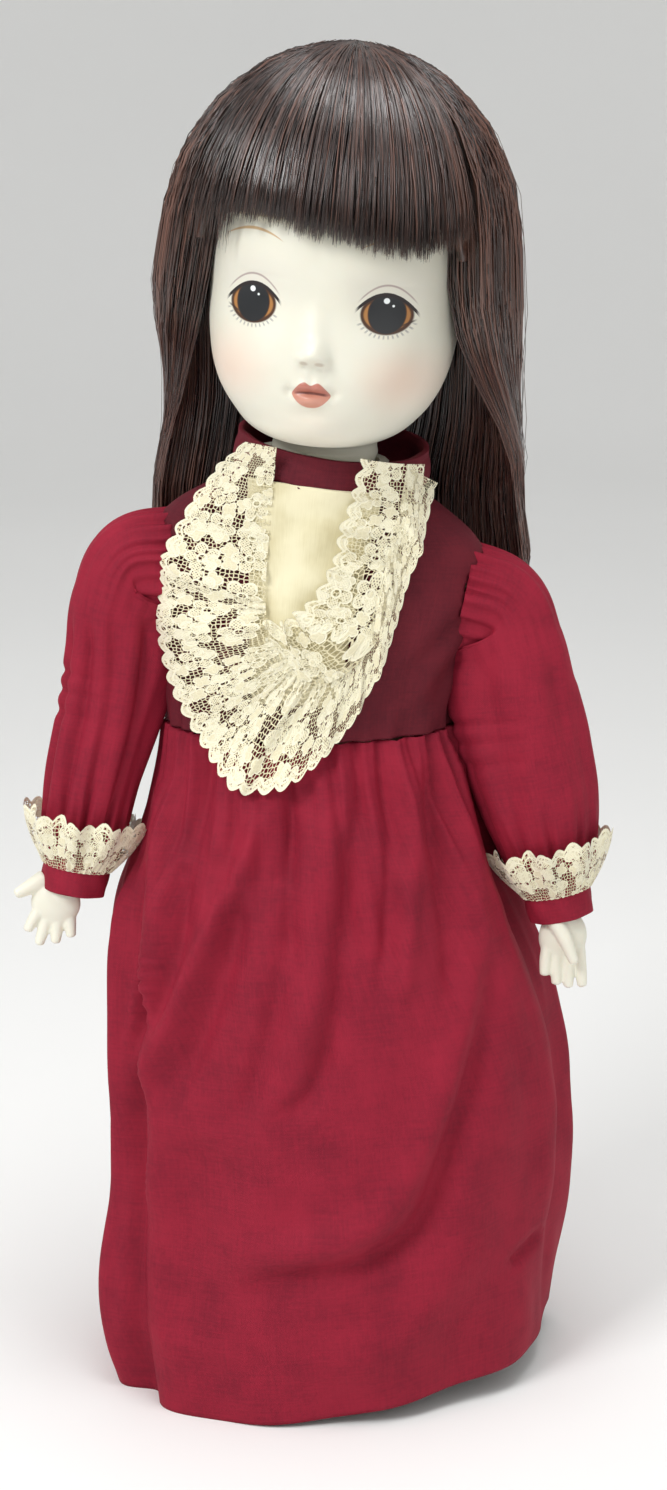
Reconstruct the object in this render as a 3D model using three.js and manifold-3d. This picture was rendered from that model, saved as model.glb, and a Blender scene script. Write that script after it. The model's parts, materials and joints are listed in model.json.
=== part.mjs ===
// A dressed collector's doll with bisque head, shoulder plate, forearms and shins on a stuffed cloth body.
// Millimetres, +Z up. The doll stands on the floor at z = 0 and faces -Y, so its left hand is on +X.
import * as THREE from 'three';
import { mergeVertices } from 'three/addons/utils/BufferGeometryUtils.js';
import Module from 'manifold-3d';

const wasm = await Module();
wasm.setup();

// ---- driving dimensions ----
const PORCELAIN_WALL = 2.6;
const CLOTH_WALL = 0.9;
const GAP = 0.4; // between pieces that touch

const LEAN = THREE.MathUtils.degToRad(6.5); // the chest leans to the doll's left
const BEND = { from: 195, to: 250 }; // the stuffed waist bends between these heights
const WAIST_SHIFT = -7.4; // and sits a little to the doll's right
const SHIFT_START_Z = 150;

const HEAD_YAW = THREE.MathUtils.degToRad(-7.5);
const HEAD_TILT = THREE.MathUtils.degToRad(-1.9);
const NECK = { x: -2.2, z: 284 };

const SHOULDER = { x: 49, z: 250, holeRadius: 11.2 };
const ARMS = {
  left: {
    side: 1,
    elbow: [68, -4, 202.5],
    wrist: [82, -8, 160.6],
    hand: [6.9, -5, -26],
    bend: [59.5, -0.5, 244],
    sleeve: [12.6, 12.8, 13.4, 16, 18, 17.6, 13.6, 9.3],
    frill: [11.4, 13.4, 15.2, 16.6],
  },
  right: {
    side: -1,
    elbow: [58.5, -4, 199],
    wrist: [61.7, -9, 152.3],
    hand: [6.8, -6, -22.8],
    bend: [57.8, -0.5, 244],
    sleeve: [12.6, 12.6, 11.8, 12.4, 13, 13.4, 11.8, 9.3],
    frill: [11.4, 13.2, 14.6, 15.6],
  },
};
const CUFF_LENGTH = 9;
const FOREARM_RADIUS = 6;

const HIP = { x: 14.5, y: 2, z: 152 };
const LEG_SPLIT_Z = 84;
const WAIST_Z = 205;

const COLOUR = {
  bisque: 0xe4e3d6,
  hair: 0x3a2420,
  burgundy: 0x8c1c30,
  ivory: 0xf1ecc4,
  lace: 0xf0ead0,
  white: 0xf3f1ea,
  muslin: 0xe9dcc4,
  shoe: 0x17130f,
  wood: 0xc9a36b,
  elastic: 0xd8d4c8,
  button: 0xf4efe2,
};

// ---- materials ----
function finish(colour, roughness, metalness = 0) {
  return new THREE.MeshStandardMaterial({ color: colour, roughness, metalness });
}
const bisque = finish(COLOUR.bisque, 0.45);
const hairFibre = finish(COLOUR.hair, 0.3);
const burgundyCotton = finish(COLOUR.burgundy, 0.9);
const ivorySatin = finish(COLOUR.ivory, 0.6);
const creamLace = finish(COLOUR.lace, 0.85);
const whiteCotton = finish(COLOUR.white, 0.9);
const muslin = finish(COLOUR.muslin, 0.95);
const shoeVinyl = finish(COLOUR.shoe, 0.35);
const turnedWood = finish(COLOUR.wood, 0.6);
const rubberElastic = finish(COLOUR.elastic, 0.8);
const pearl = finish(COLOUR.button, 0.3);

// ---- shape helpers ----
const V = (x, y, z) => new THREE.Vector3(x, y, z);
const mix = (a, b, t) => a + (b - a) * t;

// Signed volume of an indexed geometry, which is negative when its faces point inwards.
function signedVolume(positions, index) {
  const [a, b, c] = [V(), V(), V()];
  let volume = 0;
  for (let i = 0; i < index.length; i += 3) {
    a.fromArray(positions, index[i] * 3);
    b.fromArray(positions, index[i + 1] * 3);
    c.fromArray(positions, index[i + 2] * 3);
    volume += a.dot(b.cross(c)) / 6;
  }
  return volume;
}

// An indexed geometry whose faces are turned to point outwards.
function closedGeometry(positions, index) {
  if (signedVolume(positions, index) < 0) index.reverse();
  const geometry = new THREE.BufferGeometry();
  geometry.setAttribute('position', new THREE.Float32BufferAttribute(positions, 3));
  geometry.setIndex(index);
  geometry.computeVertexNormals();
  return geometry;
}

// A solid skinned over rings of points. A looped skin joins its last ring to its first, like a garment
// with an outside and an inside; any other is closed by a fan at each end.
function skin(rings, looped = false) {
  const around = rings[0].length;
  const positions = rings.flat().flatMap((p) => [p.x, p.y, p.z]);
  const index = [];
  const spans = looped ? rings.length : rings.length - 1;
  for (let j = 0; j < spans; j += 1) {
    const low = j * around;
    const high = ((j + 1) % rings.length) * around;
    for (let i = 0; i < around; i += 1) {
      const next = (i + 1) % around;
      index.push(low + i, low + next, high + next, low + i, high + next, high + i);
    }
  }
  if (!looped) {
    [0, rings.length - 1].forEach((j, end) => {
      const centre = rings[j].reduce((sum, p) => sum.add(p), V(0, 0, 0)).divideScalar(around);
      const hub = positions.length / 3;
      positions.push(centre.x, centre.y, centre.z);
      for (let i = 0; i < around; i += 1) {
        const [first, second] = [j * around + i, j * around + ((i + 1) % around)];
        index.push(hub, ...(end ? [first, second] : [second, first]));
      }
    });
  }
  return closedGeometry(positions, index);
}

// A closed section: wide along x, front and back along y, squared off as power rises above 2.
// dip tilts it, so that its front lies lower than its back.
function oval({ x = 0, y = 0, z, wide, front = wide, back = front, power = 2, dip = 0 }, around) {
  const bend = (v) => Math.sign(v) * Math.abs(v) ** (2 / power);
  return Array.from({ length: around }, (_, i) => {
    const angle = (2 * Math.PI * i) / around;
    const reach = Math.sin(angle) < 0 ? front : back;
    const py = reach * bend(Math.sin(angle));
    return V(x + wide * bend(Math.cos(angle)), y + py, z + dip * py);
  });
}

// The same sections, drawn in by a wall thickness.
function inset(sections, wall) {
  return sections.map((s) => ({
    ...s,
    wide: s.wide - wall,
    front: (s.front ?? s.wide) - wall,
    back: (s.back ?? s.front ?? s.wide) - wall,
  }));
}

// A thin garment or porcelain shell, open at both ends.
function shell(sections, wall, around, reshape = (p) => p) {
  const outside = sections.map((s) => oval(s, around).map(reshape));
  const inside = inset(sections, wall).map((s) => oval(s, around).map(reshape));
  return skin([...outside, ...inside.reverse()], true);
}

function solid(sections, around, reshape = (p) => p) {
  return skin(sections.map((s) => oval(s, around).map(reshape)));
}

// A ring of points round a station of a limb: at its centre, square to its direction.
function stationRing({ at, direction, radius, deep = radius }, around) {
  const along = direction.clone().normalize();
  const sideways = V(0, 1, 0).cross(along).normalize();
  const forward = along.clone().cross(sideways).normalize();
  return Array.from({ length: around }, (_, i) => {
    const angle = (2 * Math.PI * i) / around;
    return at
      .clone()
      .addScaledVector(sideways, radius * Math.cos(angle))
      .addScaledVector(forward, deep * Math.sin(angle));
  });
}

// Stations along a list of centres, each facing from its neighbour before to its neighbour after.
function stations(centres, radii, firstDirection) {
  return centres.map((at, i) => {
    const before = centres[Math.max(i - 1, 0)];
    const after = centres[Math.min(i + 1, centres.length - 1)];
    const direction = i === 0 && firstDirection ? firstDirection : after.clone().sub(before);
    return { at, direction, radius: radii[i] };
  });
}

function limb(list, around) {
  return skin(list.map((s) => stationRing(s, around)));
}

function sleeveShell(list, wall, around) {
  const inside = list.map((s) => ({ ...s, radius: s.radius - wall, deep: s.radius - wall }));
  return skin(
    [...list.map((s) => stationRing(s, around)), ...inside.reverse().map((s) => stationRing(s, around))],
    true,
  );
}

// A sheet with thickness: outer(u, v) and inner(u, v) are its faces, stitched along their four edges.
function slab(outer, inner, across, along) {
  const positions = [];
  const index = [];
  const width = across + 1;
  const count = width * (along + 1);
  for (const face of [outer, inner]) {
    for (let j = 0; j <= along; j += 1) {
      for (let i = 0; i <= across; i += 1) positions.push(...face(i / across, j / along).toArray());
    }
  }
  const quad = (a, b, c, d) => index.push(a, b, c, a, c, d);
  for (let j = 0; j < along; j += 1) {
    for (let i = 0; i < across; i += 1) {
      const a = j * width + i;
      quad(a, a + 1, a + 1 + width, a + width);
      quad(count + a, count + a + width, count + a + 1 + width, count + a + 1);
    }
  }
  const rim = (a, b) => quad(a, count + a, count + b, b);
  for (let i = 0; i < across; i += 1) {
    rim(i, i + 1);
    rim(along * width + i + 1, along * width + i);
  }
  for (let j = 0; j < along; j += 1) {
    rim((j + 1) * width, j * width);
    rim(j * width + across, (j + 1) * width + across);
  }
  return closedGeometry(positions, index);
}

// A round disc or pin, standing on its lower face.
function disc(radius, height, z, around = 18) {
  const geometry = weld(new THREE.CylinderGeometry(radius, radius, height, around));
  return geometry.rotateX(Math.PI / 2).translate(0, 0, z + height / 2);
}

// A three.js primitive as one closed mesh, with its seams joined and only its positions kept.
function weld(geometry) {
  geometry.deleteAttribute('normal');
  geometry.deleteAttribute('uv');
  const merged = mergeVertices(geometry);
  return closedGeometry([...merged.getAttribute('position').array], [...merged.index.array]);
}

// ---- boolean cut and join ----
function toManifold(geometry) {
  const vertProperties = new Float32Array(geometry.getAttribute('position').array);
  const triVerts = new Uint32Array(geometry.index.array);
  return new wasm.Manifold(new wasm.Mesh({ numProp: 3, vertProperties, triVerts }));
}

function fromManifold(manifold) {
  const { numProp, vertProperties, triVerts } = manifold.getMesh();
  const positions = [];
  for (let i = 0; i < vertProperties.length; i += numProp) {
    positions.push(vertProperties[i], vertProperties[i + 1], vertProperties[i + 2]);
  }
  return closedGeometry(positions, [...triVerts]);
}

function cut(geometry, ...tools) {
  return fromManifold(tools.reduce((body, tool) => body.subtract(toManifold(tool)), toManifold(geometry)));
}

function join(...geometries) {
  const [first, ...others] = geometries.map(toManifold);
  return fromManifold(others.reduce((body, other) => body.add(other), first));
}

// ---- the bend of the waist ----
// Below the hips nothing moves; the waist shifts and bends, and the chest above it leans as one.
function lean(p) {
  const length = BEND.to - BEND.from;
  const share = THREE.MathUtils.clamp((p.z - BEND.from) / length, 0, 1);
  const turned = LEAN * share * share * (3 - 2 * share);
  const drift = LEAN * length * (share ** 3 - share ** 4 / 2);
  const above = Math.max(0, p.z - BEND.to);
  const spine = V(
    WAIST_SHIFT * THREE.MathUtils.smoothstep(p.z, SHIFT_START_Z, WAIST_Z) + drift + above * Math.sin(LEAN),
    0,
    Math.min(p.z, BEND.to) + above * Math.cos(LEAN),
  );
  return V(p.x, p.y, 0).applyAxisAngle(V(0, 1, 0), turned).add(spine);
}

const doll = new THREE.Group();
const upperBody = new THREE.Group();
upperBody.position.copy(lean(V(0, 0, BEND.to))).add(V(0, 0, -BEND.to).applyAxisAngle(V(0, 1, 0), LEAN));
upperBody.rotation.y = LEAN;
upperBody.updateMatrix();
const headGroup = new THREE.Group();
headGroup.position.set(NECK.x, 0, NECK.z);
headGroup.rotation.set(0, HEAD_TILT, HEAD_YAW, 'ZYX');
upperBody.add(headGroup);
doll.add(upperBody);

function add(group, name, geometry, material) {
  const mesh = new THREE.Mesh(geometry, material);
  mesh.name = name;
  group.add(mesh);
}

// The head is drawn at its height above the floor, and its group turns about the neck.
function addToHead(name, geometry, material) {
  add(headGroup, name, geometry.translate(0, 0, -NECK.z), material);
}

// ---- bisque head, hollow, with an open crown and a round neck stub ----
const SKULL = { z: 343, wide: 35.5, front: 42.5, back: 38.5, high: 43 };
function skullLevel(z) {
  const share = Math.sqrt(1 - ((z - SKULL.z) / SKULL.high) ** 2);
  return { z, wide: SKULL.wide * share, front: SKULL.front * share, back: SKULL.back * share };
}
const HEAD_SECTIONS = [
  { z: 279, wide: 6 },
  { z: 281, wide: 12 },
  { z: 285, wide: 15.2 },
  { z: 290.5, wide: 15.6 },
  { z: 293, wide: 17.5, front: 24, back: 18, dip: 0.12 },
  { z: 296.5, wide: 23, front: 34, back: 25, dip: 0.19 },
  { z: 301, wide: 28, front: 39.5, back: 30, dip: 0.2 },
  { z: 308, wide: 32, front: 42, back: 34, dip: 0.17, power: 2.15 },
  { z: 318, wide: 34, front: 43, back: 37, dip: 0.1, power: 2.2 },
  { z: 330, wide: 35, front: 42.5, back: 38.5, dip: 0.04, power: 2.2 },
  ...[343, 356, 367, 375].map(skullLevel),
];
const NOSE = { z: 317, reach: 5.5, wide: 4.2, tall: 6 };

function headShape() {
  const noseOn = (p) => {
    if (p.y > 0) return p;
    const away = (p.x / NOSE.wide) ** 2 + ((p.z - NOSE.z) / NOSE.tall) ** 2;
    return p.setY(p.y - NOSE.reach * Math.exp(-away));
  };
  const around = 24;
  const outside = HEAD_SECTIONS.map((s) => oval(s, around).map(noseOn));
  const inside = inset(HEAD_SECTIONS, PORCELAIN_WALL).slice(1);
  inside[0] = { z: 281.6, wide: 6 };
  inside[1] = { z: 285, wide: 11.5 };
  return skin([...outside, ...inside.reverse().map((s) => oval(s, around))], true);
}
addToHead('bisque_head', headShape(), bisque);

addToHead(
  'crown_pate',
  solid(
    [
      { z: 375 + GAP, wide: 22, front: 25.5, back: 23 },
      { z: 380, wide: 16.5, front: 19, back: 17.5 },
      { z: 383.5, wide: 9, front: 10 },
      { z: 385, wide: 3 },
    ],
    18,
  ),
  muslin,
);

// ---- wig: a dome over the crown, and locks that hang from its rim ----
const WIG_RIM_Z = 362;

// Half-axes of the wig's outside and inside at a height. The locks drift backwards below the chin.
const WIG = [
  { z: 343, wide: 50.5, deep: 48.5, middle: 0, thick: 8.4 },
  { z: 320, wide: 51.5, deep: 47.5, middle: 0, thick: 8.6 },
  { z: 300, wide: 52, deep: 38, middle: 6, thick: 10 },
  { z: 285, wide: 52, deep: 30, middle: 14, thick: 9 },
  { z: 270, wide: 52, deep: 23, middle: 22.8, thick: 9 },
  { z: 255, wide: 53, deep: 20, middle: 26, thick: 9 },
  { z: 240, wide: 56, deep: 18, middle: 28, thick: 8 },
  { z: 222, wide: 53, deep: 15, middle: 29, thick: 6 },
];
const WIG_DOME = { wide: 50.5, deep: 48.5, high: 56 };

function wigLevel(z) {
  if (z >= SKULL.z) {
    const drop = Math.sqrt(Math.max(0, 1 - ((z - SKULL.z) / WIG_DOME.high) ** 2));
    const scalp = Math.sqrt(Math.max(0, 1 - ((z - SKULL.z) / (SKULL.high + 3)) ** 2));
    return {
      outer: { wide: WIG_DOME.wide * drop, deep: WIG_DOME.deep * drop, middle: 0 },
      inner: { wide: (SKULL.wide + 4.4) * scalp, deep: (SKULL.front + 3.4) * scalp, middle: 0 },
    };
  }
  const i = Math.max(1, WIG.findIndex((level) => level.z <= z));
  const [a, b] = [WIG[i - 1], WIG[i]];
  const t = (a.z - z) / (a.z - b.z);
  const [wide, deep, middle, thick] = ['wide', 'deep', 'middle', 'thick'].map((k) => mix(a[k], b[k], t));
  return { outer: { wide, deep, middle }, inner: { wide: wide - thick, deep: deep - thick, middle } };
}

function wigPoint(degrees, z, face) {
  const { wide, deep, middle } = wigLevel(z)[face];
  const angle = THREE.MathUtils.degToRad(degrees);
  return V(wide * Math.cos(angle), middle + deep * Math.sin(angle), z);
}

// A lock of hair between two angles round the head, from the rim down to a height.
function lock(from, to, bottom, across, along) {
  const face = (side) => (u, v) => wigPoint(mix(from, to, u), mix(WIG_RIM_Z - GAP, bottom, v), side);
  return slab(face('outer'), face('inner'), across, along);
}

// A dome over the skull, between two distances from it, open at its rim.
function dome(outer, inner, rimZ, around, steps) {
  const ring = (size, t) => {
    const rim = Math.asin((rimZ - SKULL.z) / size.high);
    const rise = mix(rim, 0.5 * Math.PI - 0.04, t);
    return oval(
      {
        z: SKULL.z + size.high * Math.sin(rise),
        wide: size.wide * Math.cos(rise),
        front: size.front * Math.cos(rise),
        back: size.back * Math.cos(rise),
      },
      around,
    );
  };
  const rows = Array.from({ length: steps + 1 }, (_, k) => k / steps);
  return skin([...rows.map((t) => ring(inner, t)).reverse(), ...rows.map((t) => ring(outer, t))]);
}
const grown = (by) => ({
  wide: SKULL.wide + by,
  front: SKULL.front + by,
  back: SKULL.back + by,
  high: SKULL.high + by,
});
addToHead('wig_cap', dome(grown(2), grown(1.2), 352, 22, 4), muslin);
addToHead(
  'wig_crown',
  dome({ ...WIG_DOME, front: WIG_DOME.deep, back: WIG_DOME.deep }, grown(3.4), WIG_RIM_Z, 24, 4),
  hairFibre,
);
addToHead('wig_fringe', lock(-141, -39, 346, 8, 2), hairFibre);
addToHead('wig_left_lock', lock(-36, 23, 268, 4, 5), hairFibre);
addToHead('wig_right_lock', lock(157, 216, 268, 4, 5), hairFibre);
addToHead('wig_back_hair', lock(30, 150, 222, 8, 7), hairFibre);

// ---- neck joint: an elastic cord strung between two wooden discs ----
add(headGroup, 'neck_disc_upper', disc(8.5, 3, 284.4 - NECK.z), turnedWood);
add(upperBody, 'neck_elastic', disc(1.6, 283.8 - 267, 267, 8).translate(NECK.x, 0, 0), rubberElastic);
add(upperBody, 'neck_disc_lower', disc(12.2, 2.6, 264).translate(NECK.x, 0, 0), turnedWood);

// ---- shoulder plate ----
const PLATE = [
  { z: 242, wide: 38, front: 18 },
  { z: 252, wide: 40, front: 17.2 },
  { z: 258, wide: 37, front: 16.6 },
  { z: 264, x: -1, wide: 28, front: 16.4 },
  { z: 268, x: -2, wide: 20, front: 16.4 },
  { z: 274, x: NECK.x, wide: 16.4, front: 16.4 },
  { z: 284, x: NECK.x, wide: 18.8, front: 18.8 },
];
add(upperBody, 'shoulder_plate', shell(PLATE, PORCELAIN_WALL, 18), bisque);

// ---- stuffed cloth torso ----
const TORSO = [
  { z: 148, wide: 18, front: 12 },
  { z: 156, wide: 30, front: 19 },
  { z: 175, wide: 33, front: 21 },
  { z: 200, wide: 31, front: 19 },
  { z: 225, wide: 32, front: 18 },
  { z: 238, wide: 34, front: 14.8 },
  { z: 250, wide: 33, front: 13.8 },
  { z: 257, wide: 24, front: 11 },
  { z: 261, wide: 10, front: 6 },
];
add(doll, 'cloth_torso', solid(TORSO, 18, lean), muslin);

// ---- dress bodice, collar and back buttons ----
const BODICE = [
  { z: 277.6, wide: 24, front: 21, dip: 0.11 },
  { z: 272, wide: 34, front: 20.5, dip: 0.08 },
  { z: 266, wide: 43, front: 20.5, dip: 0.04 },
  { z: 260, wide: 48, front: 21 },
  { z: 250, wide: 48.4, front: 23.5 },
  { z: 236, wide: 46, front: 27, back: 24 },
  { z: 220, wide: 43.6, front: 28, back: 25 },
  { z: WAIST_Z, wide: 42.4, front: 27.5, back: 25 },
];
function bodice() {
  const armhole = (side) =>
    new THREE.CylinderGeometry(SHOULDER.holeRadius, SHOULDER.holeRadius, 20, 16)
      .rotateZ(Math.PI / 2)
      .translate(side * SHOULDER.x, 0, SHOULDER.z)
      .applyMatrix4(upperBody.matrix);
  return cut(shell(BODICE, CLOTH_WALL, 26, lean), ...[-1, 1].map((s) => weld(armhole(s))));
}

add(doll, 'dress_bodice', bodice(), burgundyCotton);

const COLLAR = [
  { z: 278.1, wide: 27.6, front: 24.2, dip: 0.11 },
  { z: 283, wide: 29, front: 25.4, dip: 0.11 },
  { z: 288.6, wide: 28.6, front: 25.2, dip: 0.11 },
];
add(upperBody, 'dress_collar', shell(COLLAR, 1.4, 24), burgundyCotton);

// The bodice's front or back face at a height, and how far out a point lies on it.
function bodiceAt(z) {
  const i = Math.max(1, BODICE.findIndex((s) => s.z <= z));
  const [a, b] = [BODICE[i - 1], BODICE[i]];
  const t = THREE.MathUtils.clamp((a.z - z) / (a.z - b.z), 0, 1);
  return {
    wide: mix(a.wide, b.wide, t),
    front: mix(a.front, b.front, t),
    back: mix(a.back ?? a.front, b.back ?? b.front, t),
  };
}
function onBodice(x, z, away) {
  const { wide, front } = bodiceAt(z);
  const share = Math.min(Math.abs(x) / wide, 0.98);
  return V(x, -front * Math.sqrt(1 - share * share) - away, z);
}
['top', 'middle', 'low'].forEach((place, i) => {
  const z = 262 - 20 * i;
  const button = weld(new THREE.CylinderGeometry(2.2, 2.7, 1.6, 14));
  add(upperBody, `back_button_${place}`, button.translate(0, bodiceAt(z).back + 2, z), pearl);
});

// ---- ivory insert and lace jabot on the chest ----
const INSERT = { top: 272, bottom: 214, topHalf: 17, bottomHalf: 9, thick: 0.8 };
const JABOT = { thick: 1.4, away: 2.2, tip: V(-6, 0, 190) };
function insertFace(away) {
  return (u, v) => {
    const half = mix(INSERT.topHalf, INSERT.bottomHalf, v);
    return lean(onBodice(mix(-half, half, u), mix(INSERT.top, INSERT.bottom, v), away));
  };
}
add(
  doll,
  'ivory_insert',
  slab(insertFace(GAP + INSERT.thick + 0.3), insertFace(GAP + 0.3), 4, 5),
  ivorySatin,
);

// The jabot runs down one side of the insert, round its foot and up the other side. u runs along it, v
// runs outwards from its stitched edge.
const STITCHED = new THREE.CatmullRomCurve3([
  V(-21, 0, 275),
  V(-18, 0, 250),
  V(-13, 0, 228),
  V(-1, 0, 217),
  V(11, 0, 228),
  V(17, 0, 250),
  V(20, 0, 275),
]);
const FREE = new THREE.CatmullRomCurve3([
  V(-27, 0, 284),
  V(-43, 0, 254),
  V(-38, 0, 224),
  V(-10, 0, 191),
  V(22, 0, 212),
  V(33, 0, 240),
  V(32, 0, 280),
]);
function jabotFace(out) {
  return (u, v) => {
    const p = STITCHED.getPoint(u).lerp(FREE.getPoint(u), v);
    const ruffle = 1.3 * v * Math.sin(18 * Math.PI * u);
    const overSkirt = 0.34 * Math.max(0, 222 - p.z);
    const overCollar = 0.5 * Math.max(0, p.z - 267);
    return lean(onBodice(p.x, p.z, JABOT.away + 3 * v + ruffle + overSkirt + overCollar + out));
  };
}
add(doll, 'jabot_lace', slab(jabotFace(JABOT.thick), jabotFace(0), 36, 3), creamLace);

// ---- arms ----
function armStations(arm) {
  const { side } = arm;
  const at = (p) => V(p[0] * side, p[1], p[2]);
  const [bend, elbow, wrist] = [at(arm.bend), at(arm.elbow), at(arm.wrist)];
  const shoulder = V(SHOULDER.x * side, 0, SHOULDER.z);
  const tip = wrist.clone().add(V(arm.hand[0] * side, arm.hand[1], arm.hand[2]));
  return { ...arm, bend, elbow, wrist, shoulder, tip };
}

function upperArm({ side, bend, elbow }) {
  const at = (t) => bend.clone().lerp(elbow, t);
  const inArmhole = [V(42 * side, 0, SHOULDER.z), V(49 * side, 0, SHOULDER.z)];
  const centres = [...inArmhole, bend, at(0.3), at(0.7), at(1), at(1.16)];
  return limb(stations(centres, [7, 7.6, 7.6, 7.6, 7.4, 6.8, 6], V(side, 0, 0)), 12);
}

function forearm({ elbow, wrist, tip, side }) {
  const along = wrist.clone().sub(elbow).normalize();
  const start = elbow.clone().addScaledVector(along, 9);
  const point = (t) => start.clone().lerp(wrist, t);
  const shaft = limb(
    stations(
      [point(0), point(0.3), point(0.7), point(1), wrist.clone().lerp(tip, 0.18)],
      [FOREARM_RADIUS, 6.6, 5.6, 4.6, 4.8],
    ),
    12,
  );
  const handAlong = tip.clone().sub(wrist).normalize();
  const across = V(0, -1, 0);
  const palmCentre = wrist.clone().lerp(tip, 0.38);
  const palm = weld(new THREE.SphereGeometry(1, 10, 7));
  palm.scale(6, 3.6, 8.5).translate(palmCentre.x, palmCentre.y, palmCentre.z);
  const fingers = [-1.5, -0.5, 0.5, 1.5].map((k) => {
    const root = palmCentre.clone().add(V(k * 2.7, 0, 0)).addScaledVector(handAlong, 4);
    const reach = tip.clone().sub(palmCentre).length() - 2.5 - Math.abs(k + 0.3) * 1.3;
    const end = root.clone().addScaledVector(handAlong, reach - 3).addScaledVector(across, 0.8);
    end.x += k * 0.5;
    const mid = root.clone().lerp(end, 0.6);
    const fingertip = end.clone().addScaledVector(handAlong, 1.2);
    return limb(stations([root, mid, end, fingertip], [1.9, 1.8, 1.5, 0.6]), 6);
  });
  const thumbRoot = palmCentre.clone().add(V(side * 3.2, -0.5, 1.4));
  const thumbEnd = thumbRoot.clone().add(V(side * 6, -2.5, -6));
  const thumbTip = thumbEnd.clone().add(V(side * 0.8, 0, -0.9));
  const thumb = limb(
    stations([thumbRoot, thumbRoot.clone().lerp(thumbEnd, 0.6), thumbEnd, thumbTip], [2.4, 1.9, 1.6, 0.6]),
    6,
  );
  return join(shaft, palm, ...fingers, thumb);
}

function sleeveStations({ side, elbow, wrist, sleeve }) {
  const high = (t) => V(56 * side, -0.5, 244).lerp(elbow, t);
  const low = (t) => elbow.clone().lerp(wrist, t);
  const centres = [
    V((SHOULDER.x + 0.9) * side, 0, SHOULDER.z),
    V(56 * side, 0, 246.2),
    high(0.22).add(V(1.5 * side, 0, 0)),
    high(0.55).add(V(0.5 * side, 0, 0)),
    high(0.98),
    low(0.38),
    low(0.7),
    low(0.92),
  ];
  const list = stations(centres, sleeve, V(side, 0, 0));
  list[1].direction = V(side * 0.87, 0, -0.5);
  list[2].direction = V(side * 0.3, 0, -0.95);
  return list;
}

function cuffStations({ elbow, wrist }) {
  const along = wrist.clone().sub(elbow).normalize();
  const top = elbow.clone().lerp(wrist, 0.92).addScaledVector(along, GAP);
  const centres = [0, 0.5, 1].map((t) => top.clone().addScaledVector(along, t * CUFF_LENGTH));
  return stations(centres, [9.4, 9.7, 9.5]);
}

// The frill is stitched to the top of the cuff and flares up over the sleeve.
function frillStations(arm) {
  const along = arm.wrist.clone().sub(arm.elbow).normalize();
  const at = (t) => arm.elbow.clone().lerp(arm.wrist, t);
  return [0.94, 0.84, 0.72, 0.6].map((t, i) => ({ at: at(t), direction: along, radius: arm.frill[i] }));
}

for (const [name, arm] of Object.entries(ARMS)) {
  const placed = armStations(arm);
  add(upperBody, `${name}_upper_arm`, upperArm(placed), muslin);
  add(upperBody, `${name}_bisque_forearm`, forearm(placed), bisque);
  add(upperBody, `${name}_sleeve`, sleeveShell(sleeveStations(placed), CLOTH_WALL, 14), burgundyCotton);
  add(upperBody, `${name}_cuff`, sleeveShell(cuffStations(placed), 1.1, 14), burgundyCotton);
  add(upperBody, `${name}_cuff_lace`, sleeveShell(frillStations(placed), 0.8, 18), creamLace);
}

// ---- skirt, petticoat and bloomers ----
const SKIRT = [
  { z: WAIST_Z - GAP, x: 0, wide: 42.2, front: 27.6, back: 25 },
  { z: 197, x: -0.1, wide: 43.6, front: 31, back: 28 },
  { z: 182, x: -1.8, wide: 47.2, front: 35, back: 32 },
  { z: 168, x: -4.3, wide: 52.2, front: 38.5, back: 35.5 },
  { z: 154, x: -6.1, wide: 57.6, front: 41.5, back: 38 },
  { z: 141, x: -4.8, wide: 61.2, front: 44, back: 40 },
  { z: 127, x: -2.7, wide: 64.4, front: 46, back: 42 },
  { z: 100, x: 0.7, wide: 68, front: 48, back: 45 },
  { z: 60, x: 1.7, wide: 69.8, front: 49.5, back: 47 },
  { z: 28, x: -0.2, wide: 71, front: 50.5, back: 48 },
  { z: 0, x: 0.6, wide: 68, front: 51, back: 48 },
];
const SKIRT_YAW = THREE.MathUtils.degToRad(12); // the hem is turned, its right corner forward
const HEM_RISE = 9; // how much higher the hem hangs at the doll's left

// Gathers fade from the waist; the hem turns and rises to one side.
function skirtDrape(p) {
  const fall = THREE.MathUtils.clamp((WAIST_Z - p.z) / WAIST_Z, 0, 1);
  const angle = Math.atan2(p.y, p.x);
  const gather = 0.025 * Math.sin(9 * angle) * (1 - fall) + 0.02 * Math.sin(6 * angle + 1) * fall;
  const size = 0.98 - gather;
  const turned = V(p.x * size, p.y * size, p.z).applyAxisAngle(V(0, 0, 1), SKIRT_YAW * fall);
  const rise = HEM_RISE * THREE.MathUtils.smoothstep(turned.x, -40, 66) * fall;
  return lean(turned.setZ(p.z + rise));
}
add(doll, 'skirt', shell(SKIRT, CLOTH_WALL, 36, skirtDrape), burgundyCotton);

const PETTICOAT = [
  { z: 196, wide: 35.4, front: 24.6, back: 23.6 },
  { z: 170, x: -3, wide: 43, front: 30.5, back: 28.5 },
  { z: 140, x: -4, wide: 50.5, front: 36, back: 33 },
  { z: 100, wide: 56, front: 40, back: 38 },
  { z: 14, wide: 58.5, front: 43, back: 41 },
];
const petticoatDrape = (p) => {
  const fall = THREE.MathUtils.clamp((WAIST_Z - p.z) / WAIST_Z, 0, 1);
  return lean(p.clone().applyAxisAngle(V(0, 0, 1), SKIRT_YAW * fall));
};
add(doll, 'petticoat', shell(PETTICOAT, 0.8, 24, petticoatDrape), whiteCotton);

const BLOOMER_SEAT = [
  { z: 194, wide: 33.2, front: 21.4 },
  { z: 184, wide: 35, front: 23.4 },
  { z: 168, wide: 35.8, front: 24.2 },
  { z: 155, wide: 34, front: 23 },
];
add(doll, 'bloomer_seat', shell(BLOOMER_SEAT, 0.8, 20, lean), whiteCotton);

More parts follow.
